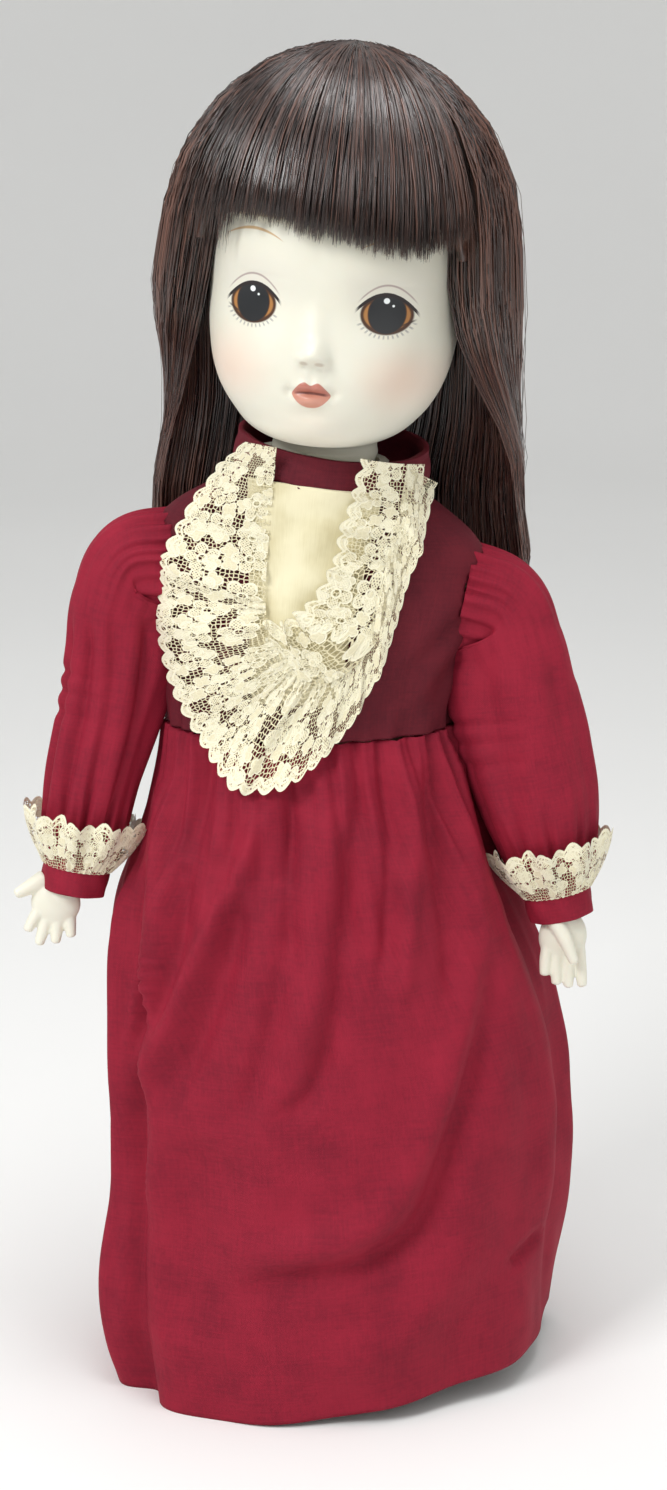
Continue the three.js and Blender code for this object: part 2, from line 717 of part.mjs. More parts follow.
// ---- legs ----
const SHIN = [
  { z: LEG_SPLIT_Z - 1, wide: 8.4 },
  { z: 74, wide: 9.2, back: 9.8 },
  { z: 60, wide: 9, back: 10.2 },
  { z: 44, wide: 7.4, back: 8 },
  { z: 28, wide: 5.8 },
  { z: 20, wide: 6, front: 9, back: 7 },
  { z: 14, wide: 7, front: 18, back: 8, power: 2.3 },
  { z: 8, wide: 7.6, front: 24.5, back: 8.6, power: 2.4 },
  { z: 3.4, wide: 6.8, front: 23.5, back: 7.8, power: 2.4 },
];
const UPPER_LEG = [
  { z: 146, wide: 9, front: 10 },
  { z: 140, wide: 11, front: 12 },
  { z: 115, wide: 10.6, front: 11.4 },
  { z: 92, wide: 9.4, front: 9.8 },
  { z: LEG_SPLIT_Z, wide: 8.2, front: 8.2 },
];
const BLOOMER_LEG = [
  { z: 144, wide: 13.2, front: 17.4 },
  { z: 130, wide: 13.6, front: 17 },
  { z: 105, wide: 13.4, front: 16 },
  { z: 90, wide: 13, front: 14.6 },
  { z: 80, wide: 10.6, front: 11.4 },
  { z: 70, wide: 13.2, front: 14.4 },
];
const SOCK = [
  { z: 48, wide: 9.6, back: 10.2 },
  { z: 40, wide: 8.4, back: 9.2 },
  { z: 28, wide: 7.4 },
  { z: 24, wide: 7.4, front: 8.9, back: 8.2 },
];
const SHOE = [
  { z: 16.5, wide: 9.2, front: 18.5, back: 10.4, power: 2.4 },
  { z: 13, wide: 9.8, front: 25, back: 11, power: 2.5 },
  { z: 7.5, wide: 10.3, front: 28.6, back: 11.3, power: 2.5 },
  { z: 2.9, wide: 9.8, front: 28, back: 10.8, power: 2.5 },
];
function shoeUpper() {
  const lining = [
    { z: 3.1, wide: 8.4, front: 25.4, back: 9.4, power: 2.4 },
    { z: 7.5, wide: 8.6, front: 26, back: 9.6, power: 2.4 },
    { z: 13, wide: 8.2, front: 21.5, back: 9.2, power: 2.4 },
    { z: 16.2, wide: 8, front: 16.2, back: 8.9, power: 2.4 },
  ];
  return skin([...SHOE, ...lining].map((s) => oval(s, 20)), true);
}

function shoeSole() {
  const outline = { wide: 9.9, front: 28.4, back: 11, power: 2.5 };
  return solid([{ z: 0, ...outline }, { z: 2.5, ...outline }], 20);
}

// A strap over the instep, square in section.
function shoeStrap() {
  const rings = Array.from({ length: 11 }, (_, i) => {
    const angle = (Math.PI * i) / 10;
    const at = (grow, y) => V((7.1 + grow) * Math.cos(angle), y, 17 + (4 + grow) * Math.sin(angle));
    return [at(0, -13), at(0, -9.6), at(1.1, -9.6), at(1.1, -13)];
  });
  return skin(rings);
}

for (const [name, side] of [['left', 1], ['right', -1]]) {
  const leg = new THREE.Group();
  leg.position.set(HIP.x * side, HIP.y, 0);
  doll.add(leg);
  add(leg, `${name}_upper_leg`, solid(UPPER_LEG, 14), muslin);
  add(leg, `${name}_bisque_shin`, solid(SHIN, 16), bisque);
  add(leg, `${name}_bloomer_leg`, shell(BLOOMER_LEG, 0.8, 14), whiteCotton);
  add(leg, `${name}_sock`, shell(SOCK, 0.7, 16), whiteCotton);
  add(leg, `${name}_shoe`, shoeUpper(), shoeVinyl);
  add(leg, `${name}_shoe_sole`, shoeSole(), shoeVinyl);
  add(leg, `${name}_shoe_strap`, shoeStrap(), shoeVinyl);
}

// The origin sits on the floor, midway across the dressed doll.
const reach = new THREE.Box3().setFromObject(doll, true);
const middle = reach.getCenter(V());
doll.position.set(-middle.x, -middle.y, -reach.min.z);

export default doll;
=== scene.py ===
import json
import math

import bpy
import numpy as np
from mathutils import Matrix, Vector


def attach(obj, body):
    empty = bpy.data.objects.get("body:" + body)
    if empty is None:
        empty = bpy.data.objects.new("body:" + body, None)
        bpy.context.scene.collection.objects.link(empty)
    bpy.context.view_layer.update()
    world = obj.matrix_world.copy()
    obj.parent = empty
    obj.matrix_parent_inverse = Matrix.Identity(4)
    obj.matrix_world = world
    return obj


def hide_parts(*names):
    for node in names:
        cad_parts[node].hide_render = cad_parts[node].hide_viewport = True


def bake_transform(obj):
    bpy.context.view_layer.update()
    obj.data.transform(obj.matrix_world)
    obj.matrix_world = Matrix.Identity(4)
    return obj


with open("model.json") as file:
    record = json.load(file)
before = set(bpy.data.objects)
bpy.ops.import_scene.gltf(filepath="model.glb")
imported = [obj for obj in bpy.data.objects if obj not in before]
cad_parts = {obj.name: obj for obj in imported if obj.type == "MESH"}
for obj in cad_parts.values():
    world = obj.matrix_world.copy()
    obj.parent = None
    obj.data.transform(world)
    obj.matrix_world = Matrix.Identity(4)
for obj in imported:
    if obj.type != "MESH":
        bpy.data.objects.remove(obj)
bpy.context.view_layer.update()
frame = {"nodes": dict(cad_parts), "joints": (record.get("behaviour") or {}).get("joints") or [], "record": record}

# The figure's own measures, in millimetres above the floor or out from its middle.
figure = {
    "neckHeight": 284,
    "neckSide": -2.2,
    "hipHeight": 152,
    "hipBack": 2,
    "waistHeight": 205,
    "waistShift": -7.4,
    "shiftStart": 150,
    "bendFrom": 195,
    "bendTo": 250,
    "headTurn": -7.5,  # degrees, towards the doll's right
    "headTilt": -1.9,
}

joints = {joint["name"]: joint for joint in frame["joints"]}
neckPlace = np.array(joints["neck_turn"]["pos_m"])
bodyUp = np.array(joints["neck_turn"]["axis"])
bodySide = np.array([bodyUp[2], 0.0, -bodyUp[0]])
backwards = np.array([0.0, 1.0, 0.0])
hipPlace = np.array(joints["sit_fold"]["pos_m"])
leanAngle = math.atan2(bodyUp[0], bodyUp[2])


# Puts three arrays of coordinates together as points.
def place(x, y, z):
    return np.stack(np.broadcast_arrays(x, y, z), -1).astype(float)


# Smoothstep: three times the square less twice the cube, held between nought and one.
def smooth(t):
    t = np.clip(t, 0, 1)
    return t * t * (3 - 2 * t)


# A bell: e to the minus square of the distance.
def bell(*distances):
    return np.exp(-sum(d * d for d in distances))


# A smooth curve through points: a cubic between each two, sloped by its neighbours.
def through(xs, ys, x):
    xs, ys = np.asarray(xs, float), np.asarray(ys, float)
    if xs[0] > xs[-1]:
        xs, ys = xs[::-1], ys[::-1]
    slope = np.gradient(ys, xs, axis=0)
    k = np.clip(np.searchsorted(xs, x) - 1, 0, len(xs) - 2)
    h = xs[k + 1] - xs[k]
    t = np.clip((x - xs[k]) / h, 0, 1)
    if ys.ndim > 1:
        h, t = h[..., None], t[..., None]
    a = (1 + 2 * t) * (1 - t) ** 2 * ys[k] + t * (1 - t) ** 2 * h * slope[k]
    return a + t * t * (3 - 2 * t) * ys[k + 1] - t * t * (1 - t) * h * slope[k + 1]


# Chest and arms: the neck's place, plus x along the leaning shoulders, y backwards and z up the spine.
def upperPlace(p):
    side, up = p[..., :1] - figure["neckSide"], p[..., 2:] - figure["neckHeight"]
    return neckPlace + 0.001 * (side * bodySide + p[..., 1:2] * backwards + up * bodyUp)


# Head: turned about the upright and tilted a little, then placed like the chest.
def headPlace(p):
    tilt, turn = math.radians(figure["headTilt"]), math.radians(figure["headTurn"])
    x, y, z = p[..., 0], p[..., 1], p[..., 2] - figure["neckHeight"]
    x, z = x * math.cos(tilt) + z * math.sin(tilt), z * math.cos(tilt) - x * math.sin(tilt)
    x, y = x * math.cos(turn) - y * math.sin(turn), x * math.sin(turn) + y * math.cos(turn)
    return upperPlace(place(x + figure["neckSide"], y, z + figure["neckHeight"]))


# Dress and trunk: upright below the hips, shifted to the waist by smoothstep, bent to the chest's lean.
def spinePlace(p):
    x, y, z = p[..., 0], p[..., 1], p[..., 2]
    low, high = figure["bendFrom"], figure["bendTo"]
    share = np.clip((z - low) / (high - low), 0, 1)
    turned = leanAngle * share * share * (3 - 2 * share)
    drift = leanAngle * (high - low) * (share**3 - share**4 / 2)
    above = np.maximum(0, z - high)
    rise = (z - figure["shiftStart"]) / (figure["waistHeight"] - figure["shiftStart"])
    shift = figure["waistShift"] * smooth(rise)
    across = shift + drift + above * math.sin(leanAngle) + x * np.cos(turned)
    height = np.minimum(z, high) + above * math.cos(leanAngle) - x * np.sin(turned)
    flat = place(across, y - figure["hipBack"], height - figure["hipHeight"])
    return hipPlace + 0.001 * flat


# Faces of a grid of rows by columns, joined round where closed, and each face's row and column.
def gridFaces(rows, columns, closed):
    i, j = np.meshgrid(np.arange(rows - 1), np.arange(columns - (0 if closed else 1)), indexing="ij")
    i, j = i.ravel(), j.ravel()
    k = (j + 1) % columns
    faces = np.stack([i * columns + j, i * columns + k, (i + 1) * columns + k, (i + 1) * columns + j], -1)
    corners = np.stack([np.stack([i, i, i + 1, i + 1], -1), np.stack([j, j + 1, j + 1, j], -1)], -1)
    return faces, corners


# Puts points, faces and face-corner uvs into a new mesh object at the origin.
def newPiece(name, points, faces, material, uv=None, caps=()):
    mesh = bpy.data.meshes.new(name)
    points = np.ascontiguousarray(points.reshape(-1, 3), dtype=np.float32)
    sizes = np.array([faces.shape[1]] * len(faces) + [len(c) for c in caps])
    loops = np.concatenate([faces.ravel(), *[np.asarray(c) for c in caps]]).astype(np.int32)
    mesh.vertices.add(len(points))
    mesh.vertices.foreach_set("co", points.ravel())
    mesh.loops.add(len(loops))
    mesh.loops.foreach_set("vertex_index", loops)
    mesh.polygons.add(len(sizes))
    mesh.polygons.foreach_set("loop_start", np.concatenate([[0], np.cumsum(sizes)[:-1]]).astype(np.int32))
    mesh.update(calc_edges=True)
    if uv is not None:
        layer = mesh.uv_layers.new(name="UVMap")
        flat = uv.reshape(-1, 2)
        spare = np.repeat(flat[-1:], len(loops) - len(flat), axis=0)
        layer.data.foreach_set("uv", np.concatenate([flat, spare]).astype(np.float32).ravel())
    mesh.validate()
    mesh.shade_smooth()
    piece = bpy.data.objects.new(name, mesh)
    bpy.context.scene.collection.objects.link(piece)
    mesh.materials.append(material)
    return piece


# A surface from a grid of points: uv says each grid point's place in the pattern, in metres.
def gridPiece(name, grid, material, closed=False, uv=None, capped=False, flip=False, holes=None):
    rows, columns = grid.shape[:2]
    faces, corners = gridFaces(rows, columns, closed)
    if uv is None:
        uv = place(np.linspace(0, 1, columns + 1)[None], np.linspace(0, 1, rows)[:, None], 0)[..., :2]
    loopUv = uv[corners[..., 0], np.minimum(corners[..., 1], uv.shape[1] - 1)]
    if holes is not None:
        kept = ~holes(grid.reshape(-1, 3)[faces].mean(1))
        faces, loopUv = faces[kept], loopUv[kept]
    caps = []
    if capped:
        caps = [np.arange(columns)[::-1], (rows - 1) * columns + np.arange(columns)]
    if flip:
        faces, loopUv, caps = faces[:, ::-1], loopUv[:, ::-1], [c[::-1] for c in caps]
    return newPiece(name, grid, faces, material, loopUv, caps)


# How long each row and column of a grid runs, so that a pattern keeps its size on it, in metres.
def measuredUv(grid, closed=False):
    ring = np.concatenate([grid, grid[:, :1]], 1) if closed else grid
    across = np.linalg.norm(np.diff(ring, axis=1), axis=2).mean(0)
    along = np.linalg.norm(np.diff(grid, axis=0), axis=2).mean(1)
    u = np.concatenate([[0], np.cumsum(across)])
    v = np.concatenate([[0], np.cumsum(along)])
    return place(u[None], v[:, None], 0)[..., :2]


# Gives a sheet a wall in millimetres, inwards from its surface unless the offset says otherwise.
def thicken(piece, millimetres, offset=-1.0):
    wall = piece.modifiers.new("wall", "SOLIDIFY")
    wall.thickness = millimetres / 1000
    wall.offset = offset
    wall.use_even_offset = False
    return piece


# One socket of a material, on which arithmetic adds Math nodes.
class Value:
    def __init__(self, shader, socket):
        self.shader, self.socket = shader, socket

    def math(self, operation, *others):
        inputs = dict(enumerate((self, *others)))
        return self.shader.node("ShaderNodeMath", {"operation": operation}, inputs)[0]

    def __add__(self, other):
        return self.math("ADD", other)

    __radd__ = __add__

    def __mul__(self, other):
        return self.math("MULTIPLY", other)

    __rmul__ = __mul__

    def __sub__(self, other):
        return self.math("SUBTRACT", other)

    def __rsub__(self, other):
        return (self * -1.0) + other

    def __truediv__(self, other):
        return self.math("DIVIDE", other)

    def __pow__(self, other):
        return self.math("POWER", other)

    def __neg__(self):
        return self * -1.0


# A material under construction. Sockets are set or linked by name or number.
class Finish:
    def __init__(self, name):
        self.material = bpy.data.materials.new(name)
        self.material.use_nodes = True
        self.tree = self.material.node_tree
        self.surface = self.tree.nodes["Principled BSDF"]

    def node(self, kind, settings={}, inputs={}):
        made = self.tree.nodes.new(kind)
        for key, value in settings.items():
            setattr(made, key, value)
        for key, value in inputs.items():
            self.put(made.inputs[key], value)
        return [Value(self, socket) for socket in made.outputs]

    def put(self, socket, value):
        if isinstance(value, Value):
            self.tree.links.new(value.socket, socket)
        elif hasattr(socket.default_value, "__len__") and len(socket.default_value) == 4:
            socket.default_value = (*value[:3], 1)
        else:
            socket.default_value = value

    def set(self, **inputs):
        for key, value in inputs.items():
            self.put(self.surface.inputs[socketNames.get(key, key)], value)
        return self

    def coordinates(self, kind="Object"):
        made = self.tree.nodes.new("ShaderNodeTexCoord")
        return Value(self, made.outputs[kind])

    def split(self, vector):
        return self.node("ShaderNodeSeparateXYZ", {}, {0: vector})[:3]

    def joined(self, x, y, z=0.0):
        return self.node("ShaderNodeCombineXYZ", {}, {0: x, 1: y, 2: z})[0]

    def scaled(self, vector, scale):
        return self.node("ShaderNodeMapping", {}, {"Vector": vector, "Scale": scale})[0]

    def noise(self, vector, scale, detail=3.0, rough=0.5):
        inputs = {"Vector": vector, "Scale": scale, "Detail": detail, "Roughness": rough}
        return self.node("ShaderNodeTexNoise", {}, inputs)[0]

    def mixed(self, share, first, second):
        made = self.node("ShaderNodeMix", {"data_type": "RGBA"}, {0: share, 6: first, 7: second})
        return made[2]

    def within(self, value, low, high):
        settings = {"interpolation_type": "SMOOTHSTEP", "clamp": True}
        return self.node("ShaderNodeMapRange", settings, {0: value, 1: low, 2: high, 3: 0.0, 4: 1.0})[0]

    # One while a value lies within the first distance of nought, fading to nothing at the second.
    def near(self, value, full, gone):
        return 1.0 - self.within(value.math("ABSOLUTE"), full, gone)

    def bumped(self, height, strength, distance):
        inputs = {"Height": height, "Strength": strength, "Distance": distance}
        self.set(normal=self.node("ShaderNodeBump", {}, inputs)[0])


socketNames = {
    "colour": "Base Color",
    "roughness": "Roughness",
    "metallic": "Metallic",
    "alpha": "Alpha",
    "normal": "Normal",
    "coat": "Coat Weight",
    "coatRoughness": "Coat Roughness",
    "sheen": "Sheen Weight",
    "sheenRoughness": "Sheen Roughness",
    "sheenTint": "Sheen Tint",
    "specular": "Specular IOR Level",
    "subsurface": "Subsurface Weight",
    "subsurfaceRadius": "Subsurface Radius",
    "subsurfaceScale": "Subsurface Scale",
    "anisotropic": "Anisotropic",
    "ior": "IOR",
}


# Linear light from an 0-255 screen colour: the screen's own curve undone.
def colour(red, green, blue):
    return tuple(((c / 255 + 0.055) / 1.055) ** 2.4 if c > 10 else c / 3294.6 for c in (red, green, blue))


print("figure placed, lean", round(math.degrees(leanAngle), 2), "degrees")


# Plain-woven cotton: threads along u and v as crossed sines of the pattern's own place, mottled by noise.
def wovenCotton(name, lit, deep, thread, sheen=0.25, weave=0.35, rough=0.82):
    finish = Finish(name)
    uv = finish.coordinates("UV")
    u, v, _ = finish.split(uv)
    where = finish.coordinates("Object")
    turns = 2 * math.pi / thread
    warp = (u * turns).math("SINE")
    weft = (v * turns).math("SINE")
    cloth = (warp * weft) * 0.5 + 0.5
    slub = finish.noise(finish.scaled(uv, (1500.0, 90.0, 1.0)), 1.0, 2.0)
    cross = finish.noise(finish.scaled(uv, (90.0, 1500.0, 1.0)), 1.0, 2.0)
    mottle = finish.noise(where, 60.0, 4.0, 0.6)
    grain = finish.noise(where, 900.0, 2.0)
    tone = finish.within(mottle * 0.55 + (slub + cross) * 0.2 + grain * 0.18, 0.3, 0.75)
    finish.set(colour=finish.mixed(tone, deep, lit), sheen=sheen, sheenRoughness=0.45, specular=0.25)
    finish.set(roughness=rough - 0.1 * mottle, sheenTint=lit)
    finish.bumped(cloth * 0.6 + slub * 0.5 + cross * 0.5, weave, 0.0002)
    return finish.material


# Unglazed porcelain: pale satin clay with faint mottling, and a fine tooth from noise as bump.
def bisqueClay(name, paint=None):
    finish = Finish(name)
    where = finish.coordinates("Object")
    clouds = finish.noise(where, 45.0, 4.0, 0.55)
    pale = finish.mixed(clouds, colour(226, 222, 204), colour(238, 236, 222))
    tooth = finish.noise(where, 1400.0, 2.0)
    rough = 0.4 + 0.12 * clouds
    if paint:
        pale, rough = paint(finish, pale, rough)
    finish.set(colour=pale, roughness=rough, specular=0.45, coat=0.12, coatRoughness=0.32)
    finish.set(subsurface=0.12, subsurfaceRadius=(1.0, 0.7, 0.5), subsurfaceScale=0.004)
    finish.bumped(tooth, 0.05, 0.0002)
    return finish.material


face = {
    "eyeOut": 18.4,
    "eyeHeight": 329.0,
    "mouthHeight": 306.3,
    "mouthHalf": 5.5,
    "noseHeight": 317.0,
    "browHeight": 347.0,
}


# Painted features, laid out in millimetres of the head's own front: u to the doll's left and v up.
def paintFace(finish, pale, rough):
    u, v, _ = finish.split(finish.coordinates("UV"))
    x = u * 100.0
    z = v * 100.0
    grain = finish.noise(finish.joined(x, z), 1.6, 2.0) - 0.5
    side = x.math("SIGN")
    out = x.math("ABSOLUTE")

    def disc(dx, dz, wide, tall, soft=0.12):
        far = ((dx / wide) ** 2.0 + (dz / tall) ** 2.0).math("SQRT")
        return 1.0 - finish.within(far, 1.0 - soft, 1.0 + soft)

    skin = pale
    cheek = disc(out - 24.0, z - 311.0, 8.5, 7.0, 0.95)
    skin = finish.mixed(cheek * 0.34, skin, colour(232, 170, 146))
    # A faint grey-mauve tint over each upper lid, darker than the skin.
    lidGreyTint = disc(out - face["eyeOut"], z - face["eyeHeight"] - 6.0, 10.5, 6.0, 0.8)
    skin = finish.mixed(lidGreyTint * 0.16, skin, colour(170, 160, 165))
    chinGlow = disc(x, z - 297.0, 8.0, 5.0, 0.9)
    skin = finish.mixed(chinGlow * 0.1, skin, colour(232, 180, 160))

    # Brows: a thin arc that falls outwards, widest in the middle.
    across = out - face["eyeOut"] - 1.0
    arc = z - face["browHeight"] - 1.8 + across * across * 0.035
    browWide = 0.55 - across * across * 0.006
    brow = finish.near(arc, browWide * 0.4, browWide) * finish.near(across, 7.5, 9.5)
    skin = finish.mixed(brow * 0.75, skin, colour(196, 150, 84))

    # Eyes: a dark round iris under a lid line, with an amber sliver each side, lashes, crease and glints.
    ex = out - face["eyeOut"]
    ez = z - face["eyeHeight"]
    lid = 4.9 - ex * ex * 0.074 - ex * 0.04
    below = 1.0 - finish.within(ez - lid, -0.12, 0.12)
    rim = disc(ex, ez + 0.2, 6.9, 5.45, 0.045)
    disk = disc(ex, ez - 0.1, 4.75, 5.4, 0.04)
    sliver = disc(ex, ez + 0.25, 6.0, 4.3, 0.05) * (1.0 - disc(ex, ez - 0.1, 5.0, 5.7, 0.03)) * below
    crease = z - face["eyeHeight"] - 7.7 + ex * ex * 0.083
    creaseLine = finish.near(crease, 0.12, 0.42) * finish.near(ex, 6.0, 8.2)
    skin = finish.mixed(creaseLine * 0.62, skin, colour(138, 104, 108))
    angle = ez.math("ARCTAN2", ex)
    ticks = (angle * 34.0).math("SINE")
    far = ((ex / 6.9) ** 2.0 + ((ez + 0.2) / 5.45) ** 2.0).math("SQRT")
    lashes = finish.within(ticks, 0.1, 0.7) * finish.within(far, 1.02, 1.05) * finish.near(far, 1.14, 1.26)
    lashes = lashes * (1.0 - finish.within(ez, -2.8, -1.8))
    skin = finish.mixed(lashes * 0.5, skin, colour(104, 104, 116))
    iris = finish.mixed(disk, colour(74, 44, 26), colour(30, 32, 35))
    iris = finish.mixed(sliver, iris, colour(176, 122, 66))
    skin = finish.mixed(rim * below, skin, iris)
    lineWide = 0.62 + grain * 0.2
    lidLine = finish.near(ez - lid - 0.25, lineWide * 0.75, lineWide) * finish.near(ex, 7.2, 8.6)
    skin = finish.mixed(lidLine, skin, colour(34, 24, 24))
    flick = z - face["eyeHeight"] + 2.6 - (out - face["eyeOut"] - 5.0) * 0.45
    wing = finish.near(flick, 0.12, 0.42) * finish.within(ex, 3.6, 4.6)
    wing = wing * (1.0 - finish.within(ex, 6.6, 8.0))
    skin = finish.mixed(wing * 0.8, skin, colour(54, 36, 32))
    glint = disc(x - side * face["eyeOut"] + 0.3, ez - 3.5, 0.78, 0.78, 0.14)
    spark = disc(x - side * face["eyeOut"] - 1.5, ez - 2.2, 0.34, 0.34, 0.2)
    skin = finish.mixed(glint.math("MAXIMUM", spark) * below, skin, colour(246, 250, 250))

    # Lips: two humps over a full lower lip, parted by a dark line, with a painted highlight on the lower lip.
    half = face["mouthHalf"]
    share = (out / half).math("MINIMUM", 1.0)
    mz = z - face["mouthHeight"] + share * share * 0.5
    cupid = 1.0 - 0.42 * (-((x / 1.5) ** 2.0)).math("EXPONENT")
    top = (1.0 - share ** 1.9) * 3.9 * cupid
    foot = (1.0 - share ** 2.3) * -4.1
    lips = (1.0 - finish.within(mz - top, -0.18, 0.16)) * finish.within(mz - foot, -0.18, 0.16)
    lips = lips * (1.0 - finish.within(out, half - 0.3, half))
    upper = finish.within(mz, -0.3, 0.3)
    # Painted highlight: a paler spot on the middle of the lower lip, not the lips' gloss, which comes from their
    # lower roughness.
    gloss = disc(x, mz + 2.1, 3.6, 1.1, 0.8)
    rose = finish.mixed(upper, colour(206, 138, 118), colour(190, 116, 100))
    rose = finish.mixed(gloss * 0.35, rose, colour(226, 168, 148))
    skin = finish.mixed(lips * 0.96, skin, rose)
    seam = finish.near(mz, 0.16, 0.5) * finish.near(x, 3.4, 5.2)
    skin = finish.mixed(seam * 0.85, skin, colour(112, 60, 52))
    # Painted shadow: a greyish-ochre smudge darkens each nostril's recess.
    nostrilShadow = disc(out - 2.15, z - 314.6, 1.15, 0.6, 0.5)
    skin = finish.mixed(nostrilShadow * 0.42, skin, colour(150, 118, 96))
    inked = (rim * below).math("MAXIMUM", lips)
    return skin, rough - 0.14 * inked


# Half-widths and depths of the head at each height: side, front, back, and how square its section is.
headShape = {
    "z": [279, 281, 285, 289.5, 291.6, 294, 298, 303, 309, 318, 330, 343, 356, 367, 374, 377],
    "wide": [6, 12, 15.2, 15.4, 18.2, 22.6, 27.0, 30.4, 32.9, 34.8, 35.6, 35.7, 33.9, 29.4, 24.6, 22.0],
    "front": [6, 12, 15.2, 16.2, 25.5, 33.0, 37.6, 40.0, 41.4, 42.3, 42.2, 42.6, 40.4, 35.0, 29.0, 26.0],
    "back": [6, 12, 15.2, 15.4, 18.0, 21.5, 26.0, 30.4, 34.0, 37.2, 38.6, 38.7, 36.8, 32.0, 26.8, 24.2],
    "power": [2, 2, 2, 2, 2.02, 2.06, 2.12, 2.18, 2.22, 2.24, 2.22, 2.16, 2.08, 2, 2, 2],
}


# The face's relief in millimetres outwards: a sum of bells for nose, lips, cheeks, chin, brow and sockets.
def faceRelief(x, z):
    out = np.abs(x)
    eye, mouth, nose = face["eyeHeight"], face["mouthHeight"], face["noseHeight"]
    relief = 4.6 * bell(x / 3.1, (z - nose) / 3.3) + 1.5 * bell(x / 3.4, (z - nose - 7) / 8)
    relief += 1.5 * bell((out - 2.9) / 1.7, (z - nose + 1.5) / 1.9)
    relief -= 0.9 * bell((out - 1.9) / 1.0, (z - nose + 3.6) / 0.9)
    relief -= 0.5 * bell(x / 1.1, (z - mouth - 5.6) / 2.0) - 0.9 * bell(x / 5.5, (z - mouth - 3) / 4.5)
    relief += 1.15 * bell((out - 1.9) / 2.2, (z - mouth - 1.9) / 1.5)
    relief += 1.6 * bell(x / 3.4, (z - mouth + 2.0) / 1.7)
    relief -= 1.2 * bell(x / 4.6, (z - mouth) / 0.75) + 0.9 * bell((out - 6.0) / 1.4, (z - mouth) / 1.6)
    relief -= 0.9 * bell(x / 5.0, (z - mouth + 6.4) / 1.9)
    relief += 1.5 * bell(x / 7.5, (z - 296.5) / 5.0)
    relief += 1.7 * bell((out - 19.5) / 10.5, (z - 309.5) / 10.0)
    relief -= 1.9 * bell((out - face["eyeOut"]) / 9.0, (z - eye - 0.5) / 7.0)
    relief += 0.75 * bell((out - face["eyeOut"]) / 6.5, (z - eye) / 4.6)
    relief -= 0.35 * bell((out - face["eyeOut"]) / 7.5, (z - eye - 7.4) / 0.9)
    relief += 0.7 * bell((out - 15) / 12, (z - 346) / 5) - 1.2 * bell(x / 5.0, (z - eye - 1) / 6.5)
    return relief


# The head: squared ovals stacked up its height, denser in the face, with relief in front and an inner wall.
def headGrid(rows=190, columns=270, wall=2.6):
    t = np.linspace(0, 1, rows)
    heights = through([0, 0.06, 0.14, 0.62, 1], [279, 289, 296, 335, 377], t)
    around = np.linspace(0, 2 * math.pi, columns, endpoint=False)
    angle = (around - 0.62 * np.sin(around) - math.pi / 2)[None]
    measures = ("wide", "front", "back", "power")
    shape = {key: through(headShape["z"], headShape[key], heights)[:, None] for key in measures}
    bend = lambda value: np.sign(value) * np.abs(value) ** (2 / shape["power"])
    x = shape["wide"] * bend(np.cos(angle))
    reach = np.where(np.sin(angle) < 0, shape["front"], shape["back"])
    y = reach * bend(np.sin(angle))
    z = heights[:, None] + 0 * x
    jaw = smooth((300 - z) / 9) * smooth((z - 289) / 4)
    z = z + jaw * 0.1 * y
    front = smooth(-np.sin(angle) * 1.6)
    relief = faceRelief(x, z) * front
    norm = np.hypot(x / shape["wide"] ** 2, y / reach**2) + 1e-9
    x, y = x + relief * (x / shape["wide"] ** 2) / norm * 0.8, y + relief * (y / reach**2) / norm
    outer = place(x, y, z)
    innerRows = np.linspace(rows - 1, 8, 34).astype(int)
    shrink = 1 - wall / np.hypot(x, y)[innerRows]
    inner = place(x[innerRows] * shrink, y[innerRows] * shrink, z[innerRows])
    inner[:, :, 2] = np.maximum(inner[:, :, 2], 281.6)
    return outer, inner


print("building the head")
outer, inner = headGrid()
both = np.concatenate([outer, inner, outer[:1]], 0)
frontal = place(both[..., 0] / 100, both[..., 2] / 100 + 10.0 * (both[..., 1] > 0), 0)[..., :2]
frontal[len(outer):] += 20.0
frontal = np.concatenate([frontal, frontal[:, :1]], 1)
skinGrid = headPlace(np.concatenate([outer, inner], 0))
faces, corners = gridFaces(len(both), both.shape[1], True)
faces = faces % (len(skinGrid) * both.shape[1])
loopUv = frontal[corners[..., 0], corners[..., 1]]
head = newPiece("bisqueHead", skinGrid, faces, bisqueClay("paintedBisque", paintFace), loopUv)
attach(head, "head")
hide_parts("bisque_head")


# Wig: how wide the hair hangs on each side at each height, and what each lock is made of.
hair = {
    "z": [222, 245, 260, 270, 285, 300, 330, 343],
    "wideLeft": [62, 66, 65, 61, 58.5, 56, 53, 51],
    "wideRight": [45, 48, 49.5, 50, 51, 52, 52.5, 51],
    "wide": 51.0,
    "deep": 48.8,
    "high": 56.5,
    "middle": 343.0,
    "strandRadius": 0.25,
}
hairFringe = {"from": -142, "to": -38, "strands": 3500, "clumps": 210, "tip": None, "seed": 11}
hairLeft = {"from": -34, "to": 36, "strands": 2300, "clumps": 150, "tip": 224, "seed": 12}
hairRight = {"from": 144, "to": 214, "strands": 2300, "clumps": 150, "tip": 224, "seed": 13}
hairBackLeft = {"from": 28, "to": 92, "strands": 1950, "clumps": 140, "tip": 222, "seed": 14}
hairBackRight = {"from": 88, "to": 152, "strands": 1950, "clumps": 140, "tip": 222, "seed": 15}


